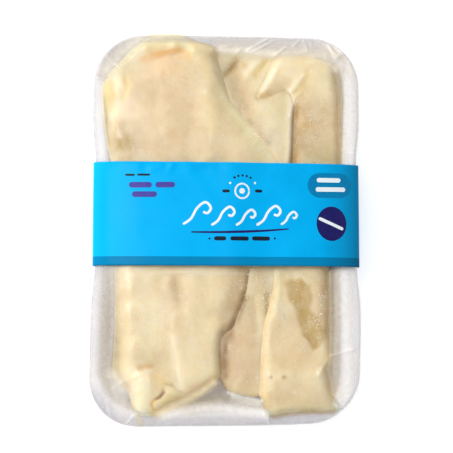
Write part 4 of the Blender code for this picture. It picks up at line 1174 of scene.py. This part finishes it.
# Grey of the rim under the film: milk of its folded layers and painted shade
RIM_MILK_AND_SHADE = (0.46, 0.44, 0.48)
RIM_MILK_AND_SHADE_SHARE = 0.3
LEFT_LIP_SHADE_SHARE = 0.45
FILM_MILK_AND_SHADING = routed(Patch, (
    # Milk of the folded film and painted shade over the top rim
    (4.5, 0.34, (0.68, 0.6, 0.5), -4, 99.5, 14, 100, 40, 99.5, 57, 96.5),
    # Thin lines on the wrinkles: milk of the creased film and painted highlights
    (0.6, 0.45, MILKY_HIGHLIGHT, 10.5, 96.4, 21, 102.8),
    (0.5, 0.4, MILKY_HIGHLIGHT, 13.5, 95.6, 25, 102.2),
    (0.5, 0.3, MILKY_HIGHLIGHT, 26.2, 94.2, 31.5, 99),
    (0.5, 0.3, MILKY_HIGHLIGHT, 35.5, 99, 39.5, 103.2),
    (0.6, 0.25, MILKY_HIGHLIGHT, 43.2, 96.9, 41.4, 102.2),
    (0.7, 0.35, MILKY_HIGHLIGHT, 52.5, 100.9, 60.5, 93.9),
    (0.6, 0.4, MILKY_HIGHLIGHT, 56.7, 100.9, 62.8, 95.2),
    (0.6, 0.4, MILKY_HIGHLIGHT, 60.8, 98.7, 68.6, 89.6),
    (0.5, 0.35, MILKY_HIGHLIGHT, -66.7, 93.1, -62.6, 88.9, -58.4, 85.2),
    (0.5, 0.25, MILKY_HIGHLIGHT, -60.1, 99.3, -57.8, 96.3),
    (0.5, 0.25, MILKY_HIGHLIGHT, -45.1, 103.5, -42.8, 100.5),
    # Painted shade over the top left corner between rim and flesh
    (2.8, 0.6, (0.44, 0.39, 0.34), -67.5, 82, -63.5, 90, -56.5, 97.8, -47, 102.2),
    # Milk and painted light at the lower left corner
    (5, 0.3, WHITE_MILK_AND_LIGHT, -58.5, -84, -55.5, -96),
    (0.5, 0.5, MILKY_HIGHLIGHT, -49.2, -98.9, -53.4, -103.8),
    (0.5, 0.2, MILKY_HIGHLIGHT, -64.5, -88.5, -61, -101),
    (0.6, 0.4, MILKY_HIGHLIGHT, 56.5, -93.5, 67.5, -99.2),
    (0.6, 0.3, MILKY_HIGHLIGHT, 55.3, -67.9, 66.9, -64.6),
    # Milk and painted light over the floor and wall at the bottom
    (2.6, 0.6, WHITE_MILK_AND_LIGHT, -33, -99, -15.5, -95.8, -4, -95.4, 18, -98.5),
    (0.6, 0.45, MILKY_HIGHLIGHT, 0.3, -87.2, 8.2, -89.9, 18.3, -91.6),
    (0.5, 0.35, MILKY_HIGHLIGHT, 2.4, -89.3, 9.2, -91.6, 17.2, -92.3),
    (0.6, 0.35, MILKY_HIGHLIGHT, 21, -97, 21.4, -104),
    (0.6, 0.14, MILKY_HIGHLIGHT, -39.5, -25, -14.6, -24.7, 12.1, -24.8),
    # Painted highlight along the pale fold line of the valley
    (0.9, 0.34, WHITE_MILK_AND_LIGHT, 35.4, 69.4, 34.4, 64.4, 33, 60),
    (0.9, 0.15, WHITE_MILK_AND_LIGHT, 33, 59.6, 33.4, 53, 33, 44, 32, 36),
    # Painted golden shade over the right piece's shaded right edge
    (1.5, 0.45, AMBER_EDGE_SHADE, 59, 88, 61.4, 70, 61.8, 36),
    # Painted light on the tray's right inner wall, which faces the light
    (3, 0.7, WHITE_MILK_AND_LIGHT, 66.8, 88, 67.2, 60, 66.6, 34),
    (4.2, 0.68, WHITE_MILK_AND_LIGHT, 62.6, -24, 63.4, -50, 63.6, -90),
    # Painted shadow on the floor under the left piece's lower edge
    (3, 0.35, (0.72, 0.62, 0.46), -22, -95.5, -12, -93.6, -4, -91.5),
    (3.6, 0.4, (0.8, 0.7, 0.55), 56, 97.5, 63, 92.5, 66.5, 86),
    # Milk of the gathered film and painted light on the pieces' top shoulders
    (2.4, 0.55, CREAMY_MILK_AND_LIGHT, -4, 96, 8, 95.5, 24, 94.4),
    (2.2, 0.45, CREAMY_MILK_AND_LIGHT, 26, 94.4, 40, 95.2, 52, 93.8, 58, 87),
    # Milk and painted light over the left edge of the flesh, lifting its shade
    (4.5, 0.4, FLESHY_MILK_AND_LIGHT, -48, 101, -56, 92.5, -64, 83.5),
    (2, 0.3, FLESHY_MILK_AND_LIGHT, -60.8, -22, -60.3, -50, -62, -78),
    # Painted shade on the left inner wall
    (3.6, 0.46, (0.42, 0.37, 0.32), -64.5, -22, -64.8, -50, -65.2, -76),
    # Milk and painted light at the lower left corner
    (3.5, 0.35, FLESHY_MILK_AND_LIGHT, -60, -78, -57, -84, -52, -88),
    # Painted warm shade on the wall in the right piece's shadow
    (1.9, 0.4, (0.84, 0.72, 0.54), 58, -24, 58.2, -50, 57.4, -66, 56.6, -76, 58.6, -88),
    # Painted golden shade along the left piece's lower edge
    (2.3, 0.6, (0.92, 0.76, 0.46), -7.5, -81.9, -14.4, -87, -21.6, -91, -30.2, -94.9, -36.2, -98),
    (1.4, 0.35, GOLDEN_MILK, -46.9, -99.4, -45.2, -103.4),
    # Milk and painted light along the middle piece's lower edge
    (2.4, 0.45, FLESHY_MILK_AND_LIGHT, 3, -89.6, 8, -91.2, 16, -92.4),
    # Painted shadow line under the right piece's lower edge
    (0.8, 0.5, (0.48, 0.34, 0.2), 24.5, -100.4, 31, -99.2, 43, -98.3, 56, -98),
    # Painted golden shade over the right piece's shaded right edge
    (1.1, 0.45, AMBER_EDGE_SHADE, 54.8, -24, 55, -48, 54.6, -68, 53.4, -76, 56.4, -90),
))


def film_milk_and_shading(x, y, on_top):
    """The colour of the film's milkiness, painted highlights and painted shade at points and, as the fourth value,
    its share. The listed layers are on top only.
    """
    inset = inset_at_rim(x, y)
    # Less grey on the left and right rims, which the light falls on: painted light
    clear = smooth_share((x - 40.0) / 24.0)
    clear = clear + smooth_share((-x - 42.0) / 22.0) * smooth_share((94.0 - np.abs(y)) / 14.0)
    # The rim's grey: milk of the film's folded layers and painted shade
    rim = RIM_MILK_AND_SHADE_SHARE * smooth_share((RIM_GREY_REACH - inset) / RIM_GREY_FADE) * (1.0 - 0.8 * clear)
    # A darker line along the left rim's outer lip: painted shade
    rim += LEFT_LIP_SHADE_SHARE * bell(inset, LIP_REACH) * smooth_share((-x - 50.0) / 14.0)
    tint = np.column_stack([np.tile(RIM_MILK_AND_SHADE, (len(x), 1)), rim])
    for tint_layer in FILM_MILK_AND_SHADING:
        share = on_top * tint_layer.strength * near_route(x, y, tint_layer.route, tint_layer.radius)
        whole = 1.0 - (1.0 - tint[:, 3]) * (1.0 - share)
        weight = (share / np.maximum(whole, 1e-6))[:, None]
        tint[:, :3] += (np.array(tint_layer.colour) - tint[:, :3]) * weight
        tint[:, 3] = whole
    return tint


def outline_points(u, v, grow):
    """The points of the grown outline that belong to (u, v) on the edge of a square from -1 to 1."""
    radius = RIM_CORNER_RADIUS + grow
    half_x, half_y = TRAY_WIDTH / 2 + grow, TRAY_LENGTH / 2 + grow
    on_long_side = np.abs(u) >= np.abs(v)
    straight = np.where(on_long_side, half_y, half_x) - radius
    run = np.where(on_long_side, np.abs(v), np.abs(u)) * (straight + radius * math.pi / 4)
    turn = np.maximum(run - straight, 0.0) / radius
    along = np.minimum(run, straight) + radius * np.sin(turn)
    across = radius * (1.0 - np.cos(turn))
    x = np.where(on_long_side, half_x - across, along)
    y = np.where(on_long_side, along, half_y - across)
    return np.copysign(x, u), np.copysign(y, v)


def cod_surface(x, y, clearance):
    """The highest face of the cod plus the clearance, and minus infinity beside the cod."""
    held = np.full(np.shape(x), -np.inf)
    for cod in COD_PIECES:
        outline = OUTLINES[cod.name]
        low, high = outline[:, :2].min(axis=0) - 1.0, outline[:, :2].max(axis=0) + 1.0
        near = (x > low[0]) & (x < high[0]) & (y > low[1]) & (y < high[1])
        top, inside, _ = cod_top(x[near], y[near], cod)
        held[near] = np.where(inside > -0.3, np.maximum(held[near], top + clearance), held[near])
    return held


def settled_field():
    """The film's heights on a grid: stretched flat from the rim, and held up by the cod."""
    xs, ys = (np.linspace(-size / 2, size / 2, round(size / FIELD_STEP) + 1) for size in (TRAY_WIDTH, TRAY_LENGTH))
    x, y = np.meshgrid(xs, ys)
    held = cod_surface(x, y, FILM_CLING)
    flat_z = RIM_Z + FILM_LIFT
    held = np.where(inset_at_rim(x, y) < LIP_RUN + RIM_FLAT + FIELD_STEP, np.maximum(held, flat_z), held)
    height = np.maximum(held, flat_z)
    for _ in range(SETTLE_STEPS):
        around = height[:-2, 1:-1] + height[2:, 1:-1] + height[1:-1, :-2] + height[1:-1, 2:]
        height[1:-1, 1:-1] = np.maximum(around / 4, held[1:-1, 1:-1])
    return xs, ys, height


def field_value(x, y, field):
    """The height of a field at points between its own."""
    xs, ys, height = field
    u, v = (np.clip((p - ps[0]) / (ps[1] - ps[0]), 0.0, len(ps) - 1.001) for p, ps in ((x, xs), (y, ys)))
    i, j = u.astype(int), v.astype(int)
    a, b = u - i, v - j
    low = height[j, i] * (1 - a) + height[j, i + 1] * a
    high = height[j + 1, i] * (1 - a) + height[j + 1, i + 1] * a
    return low * (1 - b) + high * b


def wrap_section(clear):
    """(growth of the outline, z) of a skin, that clear of the tray, from its lip to its base."""
    fillet_radius = FLOOR_FILLET_RADIUS + FOAM
    rim_foot_z = RIM_Z - FOAM
    tuck_angle = math.atan2(rim_foot_z - TRAY_BASE_Z - fillet_radius / 2, FLOOR_INSET)
    reach = fillet_radius + CORNER_CLEARANCE + clear
    centre_z = TRAY_BASE_Z + fillet_radius + CORNER_CLEARANCE
    turns = [tuck_angle * (1 - i / 6) for i in range(7)]
    tuck = [(-FLOOR_INSET + reach * math.sin(a), centre_z - reach * math.cos(a)) for a in turns]
    radius, nose_z = NOSE_RADIUS + clear, RIM_Z - NOSE_RADIUS
    nose = [(-NOSE_RADIUS + radius * math.cos(a), nose_z + radius * math.sin(a)) for a in np.radians((70, 45, 22, 0))]
    wall = [
        (clear + (tuck[0][0] - clear) * share, rim_foot_z + (tuck[0][1] - rim_foot_z) * share)
        for share in np.linspace(0.0, 1.0, SKIRT_STEPS + 1)[:-1]
    ]
    return nose, wall, tuck


def make_film(surface):
    """One stretched skin over the cod, round the rim and under the tray, open where its folded ends meet."""
    columns, rows = FILM_COLUMNS + 1, FILM_ROWS + 1
    u, v = np.meshgrid(np.linspace(-1, 1, columns), np.linspace(-1, 1, rows))
    reach = np.maximum(np.abs(u), np.abs(v))
    ring = np.where(reach == 0.0, 1.0, reach)
    x, y = outline_points(u / ring, v / ring, -LIP_RUN)
    top = placed((x * reach).ravel(), (y * reach).ravel(), RIM_Z)
    x, y = top[:, 0], top[:, 1]
    z = np.maximum(field_value(x, y, settled_field()), cod_surface(x, y, FILM_CLING))
    top[:, 2] = z + strokes_height(x, y, WRINKLES)
    faces = ring_faces(rows, columns, closed=False)
    index = np.arange(columns * rows).reshape(rows, columns)
    edge = np.concatenate([index[0, :-1], index[:-1, -1], index[-1, :0:-1], index[:0:-1, 0]])
    edge_u, edge_v = u.ravel()[edge], v.ravel()[edge]
    count, start = len(edge), len(top)
    corner = smooth_share(1.0 - np.abs(np.abs(edge_u) - np.abs(edge_v)) / CORNER_REACH)
    x, y = outline_points(edge_u, edge_v, 0.0)
    around = np.cumsum(np.hypot(np.diff(x, prepend=x[-1]), np.diff(y, prepend=y[-1])))
    pleat = value_noise(around, 0.0, PLEAT_SIZE, 61) * (PLEAT_RISE + CORNER_PLEAT_RISE * corner)
    pleat = np.maximum(pleat + value_noise(around, 40.0, WAVE_SIZE, 62) * WAVE_RISE, DEEPEST_PLEAT)
    nose, wall, tuck = wrap_section(GAP)
    shares = [0.0] * len(nose) + [min(1.0, k / 4) for k in range(len(wall))] + [0.5] * len(tuck)
    points = [top]
    for (grow, height), share in zip([*nose, *wall, *tuck], shares):
        moved = placed(*outline_points(edge_u, edge_v, grow), height)
        outward = moved[:, :2] / np.linalg.norm(moved[:, :2], axis=1)[:, None]
        moved[:, :2] += outward * (pleat * share)[:, None]
        points.append(moved)
    last = points[-1]
    seam = np.column_stack([edge_u * SEAM_LENGTH / 2, SLEEVE_MIDDLE_Y + edge_v * SEAM_WIDTH / 2])
    for share in np.linspace(0.0, 1.0, SEAM_RINGS + 1)[1:]:
        fold = FOLD_RISE * value_noise(around, 9.0, FOLD_SIZE, 63) * math.sin(math.pi * share)
        xy = last[:, :2] * (1 - share) + seam * share
        points.append(np.column_stack([xy, last[:, 2] + fold]))
    rings = len(points) - 1
    for k in range(count):
        after = (k + 1) % count
        faces.append((int(edge[k]), int(edge[after]), start + after, start + k))
    faces += ring_faces(rings, count, first=start)
    points = np.concatenate(points)
    fading = np.clip(1.0 - np.arange(1, rings + 1) / len(nose), 0.0, 1.0)
    tint = film_milk_and_shading(points[:, 0], points[:, 1], np.concatenate([np.ones(start), np.repeat(fading, count)]))
    return new_piece("cling_film", points, faces, surface, "film", tint)


# The sleeve

SLEEVE_ROWS = 56
CROWN_STEPS = 90
BASE_STEPS = 23
PRINT_LIFT = 0.05
LOWER_PRINT = 0.02  # how far the prints that others lie on are sunk
EDGE_RIPPLE = 0.45
SLEEVE_END_Y = SLEEVE_MIDDLE_Y + SLEEVE_LENGTH / 2
SLEEVE_CLEAR = GAP + FILM + GAP + PAPER
HALF_BAND = (TRAY_WIDTH / 2 + SLEEVE_CLEAR) * float(squeeze_factor(SLEEVE_END_Y, RIM_Z))
CREASES = routed(Stroke, (
    (1.8, -0.05, -67.5, 6.5, -46.6, 9.3, -29.8, 8.9),
    (3, 0.15, -20, 30, -8, 12),
    (2.2, 0.45, -40.5, 31, -36, 32.6),
    (1.8, 0.35, -31, 30.2, -30, 33),
    (2.4, 0.45, -14.6, 32.9, -8.9, 33),
    (8, 0.6, 4, -22, 3, 4, 3.5, 36),
    (7, -0.3, 19, -22, 19, 4, 19.5, 36),
))


def paper_wave(x, y):
    """How the paper strays from its smooth crown."""
    fade = smooth_share((HALF_BAND - np.abs(x)) / 12.0)
    wave = 0.30 * value_noise(x, y, 34.0, 71) + 0.10 * value_noise(x, y, 13.0, 72)
    near_edge = smooth_share((y - (SLEEVE_END_Y - 9.0)) / 9.0) * smooth_share(-x / 10.0)
    ripple = EDGE_RIPPLE * near_edge * value_noise(x, y, 7.0, 74)
    return fade * (wave + ripple + strokes_height(x, y, CREASES))


def sleeve_z(x, y):
    """The height of the sleeve's outer face on its crown."""
    share = np.clip(np.abs(x) / HALF_BAND, 0.0, 1.0)
    rise = CROWN_RISE * np.sqrt(1.0 - share**CROWN_FULLNESS)
    return RIM_Z - LIP_DROP + PAPER + rise + paper_wave(x, y)


def make_sleeve(surface):
    """A closed paper band round the pack."""
    crown = HALF_BAND * np.sin(np.linspace(-math.pi / 2, math.pi / 2, 2 * CROWN_STEPS + 1))
    _, wall, tuck = wrap_section(SLEEVE_CLEAR)
    side = [((TRAY_WIDTH / 2 + grow) * float(squeeze_factor(SLEEVE_END_Y, z)), z) for grow, z in [*wall, *tuck]]
    side[-1] = (side[-1][0], 0.0)
    base = np.linspace(side[-1][0], -side[-1][0], BASE_STEPS + 1)[1:-1]
    rows = []
    for y in np.linspace(SLEEVE_MIDDLE_Y - SLEEVE_LENGTH / 2, SLEEVE_END_Y, SLEEVE_ROWS + 1):
        rows += [(x, y, z) for x, z in zip(crown, sleeve_z(crown, np.full(len(crown), y)))]
        rows += [(x, y, z) for x, z in side] + [(x, y, 0.0) for x in base]
        rows += [(-x, y, z) for x, z in reversed(side)]
    faces = ring_faces(SLEEVE_ROWS + 1, len(rows) // (SLEEVE_ROWS + 1))
    band = new_piece("sleeve_paper", np.array(rows), faces, surface, "sleeve")
    shell = band.modifiers.new("Thickness", "SOLIDIFY")
    shell.thickness = PAPER * TO_METRES
    shell.offset = -1.0
    return band


# The print: plain shapes laid on the sleeve

ROUTE_STEP = 0.6


def ribbon(route, width, taper=0.0):
    """A flat stroke of that width along a smooth route, as (points, quads). Its ends narrow by the taper."""
    line = smooth_route(route, ROUTE_STEP)
    run = np.gradient(line, axis=0)
    run /= np.linalg.norm(run, axis=1)[:, None]
    across = np.stack([-run[:, 1], run[:, 0]], axis=-1)
    share = np.linspace(0.0, 1.0, len(line))
    ends = np.sqrt(np.clip(np.minimum(share, 1.0 - share) * len(line) * ROUTE_STEP / (width / 2), 0.12, 1.0))
    half = (width / 2 * ends * (1.0 - taper * (1.0 - np.sin(math.pi * share))))[:, None]
    count = len(line)
    points = np.concatenate([line + across * half, line - across * half])
    return points, [(k, k + 1, count + k + 1, count + k) for k in range(count - 1)]


def filled(outline):
    """A filled outline, as (points, triangles)."""
    corners = np.array([*outline, outline[0]], dtype=float)
    outline = []
    for start, end in zip(corners, corners[1:]):
        pieces = max(1, math.ceil(math.dist(start, end) / 1.0))
        outline += [start + (end - start) * k / pieces for k in range(pieces)]
    outline = np.array(outline)
    return triangulated(outline, grid_inside(outline, 1.2, 0.5, 3))


def ellipse(x, y, half_x, half_y):
    return [(x + half_x * math.cos(a), y + half_y * math.sin(a)) for a in np.linspace(0, math.tau, 72)[:-1]]


def pill(x, y, half_x, half_y):
    turns = np.linspace(-math.pi / 2, math.pi / 2, 22)
    right = [(x + half_x - half_y + half_y * math.cos(a), y + half_y * math.sin(a)) for a in turns]
    return right + [(2 * x - px, 2 * y - py) for px, py in right]


def bars(*rows):
    """Straight strokes from rows of (x0, y0, x1, y1, width)."""
    return [ribbon(((a, b), ((a + c) / 2, (b + d) / 2), (c, d)), width) for a, b, c, d, width in rows]


def dots(radius, *places):
    return [filled(ellipse(x, y, radius, radius)) for x, y in places]


WAVE_CURL = ((0, 0), (0.35, 0.25), (0.62, 0.72), (0.98, 0.98), (1.22, 0.74), (1.08, 0.50), (0.88, 0.56))


def curls(*rows):
    """Breaking waves drawn with one stroke each, from rows of (x, y, size, width)."""
    return [ribbon([(x + a * size, y + b * size) for a, b in WAVE_CURL], width) for x, y, size, width in rows]


def lay_print(name, shapes, inks, sunk=0.0):
    """One piece of print from several flat shapes, draped on the sleeve."""
    points, faces = [], []
    for shape_points, shape_faces in shapes:
        start = sum(len(p) for p in points)
        points.append(shape_points)
        faces += [tuple(start + i for i in f) for f in shape_faces]
    flat = np.concatenate(points)
    z = sleeve_z(flat[:, 0], flat[:, 1]) + PRINT_LIFT
    made = new_piece(name, np.column_stack([flat, z]), faces, ink_material(name, *inks))
    made.data.transform(Matrix.Translation((0, 0, -sunk * TO_METRES)))


WHITE_INKS = (srgb(228, 234, 236), srgb(214, 224, 230))
PILL_INKS = (srgb(0, 118, 168), srgb(4, 126, 176))
NAVY_INKS = (srgb(26, 24, 88), srgb(38, 36, 104))
PURPLE_INKS = (srgb(70, 62, 150), srgb(82, 74, 160))
BLACK_INKS = (srgb(20, 28, 44), srgb(30, 40, 60))


def make_prints():
    shapes = bars((48.4, 4.9, 61.8, -0.9, 1.7), (47.5, 25.3, 60.5, 25.4, 2.4), (46.9, 20.3, 63.1, 20.5, 2.4))
    shapes += [ribbon(ellipse(7.3, 18.9, 3.7, 3.9) + [(11.0, 18.9)], 0.9)]
    shapes += dots(1.5, (7.3, 18.9)) + dots(0.6, (0.9, 23.1), (14.2, 23.3))
    shapes += curls((-24, 1.0, 12, 1.3), (-9, 0.6, 10, 1.3), (4, 0.6, 8.5, 1.3), (15, 0.8, 10.5, 1.3))
    shapes += curls((28, 1.2, 7, 1.2))
    lay_print("print_white", shapes, WHITE_INKS)
    lay_print("print_pill", [filled(pill(54.5, 22.5, 12.0, 6.7))], PILL_INKS, LOWER_PRINT)
    stripe = ribbon(((-19.8, -3.1), (0, -3.0), (18, -2.2), (32.3, -1.1)), 1.3, 0.5)
    lay_print("print_navy", [filled(ellipse(55.4, 2.0, 8.2, 9.2)), stripe], NAVY_INKS, LOWER_PRINT)
    shapes = bars((-52.5, 21.7, -40.5, 21.8, 3.0), (-38.6, 21.8, -28.3, 22.0, 3.0), (-50.9, 16.7, -37.8, 16.8, 3.0))
    lay_print("print_purple", shapes, PURPLE_INKS)
    shapes = bars(
        (-54.6, 27.0, -49.5, 27.0, 1.1), (-48.2, 27.1, -41.5, 27.2, 1.1), (-7.6, -6.4, -1.2, -6.4, 2.2),
        (1.0, -6.4, 10.8, -6.4, 2.2), (12.6, -6.3, 22.1, -6.3, 2.2),
    )
    shapes += dots(0.55, (-10.0, -6.5), (24.7, -6.2))
    shapes += bars((-3.2, 18.8, 0.7, 18.8, 1.6), (14.2, 19.0, 18.1, 19.0, 1.6))
    turns = np.linspace(math.radians(60), math.radians(120), 5)
    shapes += dots(0.6, *((7.5 + 8.6 * math.cos(a), 18.6 + 8.6 * math.sin(a)) for a in turns))
    lay_print("print_black", shapes, BLACK_INKS)


# Small trapped bubbles

BubbleField = namedtuple("BubbleField", "spread number route")
BUBBLE_FIELDS = routed(BubbleField, (
    (4.5, 46, 16.2, -25.4, 21.5, -30.7, 18.3, -41.3),
    (4.5, 60, 46.2, -26.8, 50.4, -38.5, 47.1, -51.8),
    (1.8, 16, 25.5, 46.2, 26.6, 38.6),
    (3, 12, 2.4, 96.1, 4.5, 88.5),
    (1.6, 14, 23.8, -38.6, 21.6, -51.8),
    (6, 60, 22, 58, 26, 46),
    (5, 60, 15, -24, 20, -34, 17, -44),
    (4, 40, 27, -40, 30, -50),
    (8, 50, 44, 64, 52, 50),
    (4, 26, 5, 92, 12, 89),
))
BUBBLE_RINGS = 4
BUBBLE_SIDES = 10
BUBBLE_RADII = (0.18, 0.46)
BUBBLE_SINK = 0.05
BUBBLE_FLATNESS = 0.4


def make_bubbles(surface):
    random = np.random.default_rng(97)
    points, faces = [], []
    for spread, number, route in BUBBLE_FIELDS:
        line = smooth_route(route, 0.5)
        for _ in range(number):
            x, y = line[random.integers(len(line))] + random.normal(0.0, spread * 0.5, 2)
            radius = random.uniform(*BUBBLE_RADII)
            top = float(cod_surface(np.array([x]), np.array([y]), 0.0)[0])
            if not np.isfinite(top):
                continue
            start = len(points)
            for tilt in (math.pi / 2 * ring / BUBBLE_RINGS for ring in range(BUBBLE_RINGS)):
                across, z = radius * math.cos(tilt), top - BUBBLE_SINK + radius * BUBBLE_FLATNESS * math.sin(tilt)
                turns = (math.tau * k / BUBBLE_SIDES for k in range(BUBBLE_SIDES))
                points += [(x + across * math.cos(a), y + across * math.sin(a), z) for a in turns]
            tip, last = len(points), len(points) - BUBBLE_SIDES
            points.append((x, y, top - BUBBLE_SINK + radius * BUBBLE_FLATNESS))
            faces += ring_faces(BUBBLE_RINGS, BUBBLE_SIDES, first=start)
            faces += [(last + k, last + (k + 1) % BUBBLE_SIDES, tip) for k in range(BUBBLE_SIDES)]
            faces.append(tuple(range(start, start + BUBBLE_SIDES)))
    return new_piece("air_bubbles", np.array(points), faces, surface)


# The studio

FLOOR_SIZE = 3.0  # metres from its middle to its side
WORLD_TONE = (0.97, 0.985, 1.0, 1.0)
WORLD_STRENGTH = 0.60
OVERHEAD_STRENGTH = 0.26
LIGHTS = (
    ("key", (-2.7, 0.9, 1.9), 96.0, (1.2, 1.2)),
    ("glaze", (-2.7, 0.9, 1.9), 13.0, (1.2, 1.2)),
    ("sheen", (-0.42, 0.24, 1.5), 4.4, (0.5, 0.6)),
)


def linked(name, data):
    obj = bpy.data.objects.new(name, data)
    bpy.context.scene.collection.objects.link(obj)
    return obj


def make_studio():
    scene = bpy.context.scene
    mesh = bpy.data.meshes.new("floor")
    corners = [(FLOOR_SIZE * x, FLOOR_SIZE * y, 0) for x, y in ((-1, -1), (1, -1), (1, 1), (-1, 1))]
    mesh.from_pydata(corners, [], [(0, 1, 2, 3)])
    mesh.materials.append(floor_material())
    floor = linked("floor", mesh)
    scene.world = bpy.data.worlds.new("studio")
    scene.world.use_nodes = True
    tree = scene.world.node_tree
    background = tree.nodes["Background"].inputs
    background["Color"].default_value = WORLD_TONE
    up = node(tree, "ShaderNodeSeparateXYZ", {0: node(tree, "ShaderNodeTexCoord", {}, "Generated")}, "Z")
    tree.links.new(remap(tree, up, 0.80, 0.95, WORLD_STRENGTH, OVERHEAD_STRENGTH), background["Strength"])
    for name, place, power, size in LIGHTS:
        light = bpy.data.lights.new(name, "AREA")
        light.shape = "RECTANGLE"
        light.size, light.size_y = size
        light.energy = power
        obj = linked(name, light)
        obj.location = place
        obj.rotation_euler = Vector(place).to_track_quat("Z", "Y").to_euler()
        obj.visible_glossy = name != "key"
    camera = bpy.data.cameras.new("camera")
    camera.sensor_width = SENSOR
    camera.lens = FOCAL_PX / FRAME_WIDTH_PX * SENSOR
    camera.clip_start = 0.01
    back = Vector(CAMERA_DIRECTION).normalized()
    up = (Vector((0, 1, 0)) - back * back.y).normalized()
    place = (Vector(CAMERA_TARGET) + back * CAMERA_DISTANCE) * TO_METRES
    obj = linked("camera", camera)
    obj.matrix_world = Matrix.Translation(place) @ Matrix((up.cross(back), up, back)).transposed().to_4x4()
    bpy.context.scene.camera = obj
    scene.view_settings.view_transform = "Standard"


make_studio()
make_tray(foam_material())
flesh = cod_material()
for cod in COD_PIECES:
    make_cod(cod, flesh)
make_film(film_material())
make_sleeve(sleeve_material())
make_prints()
make_bubbles(bubble_material())
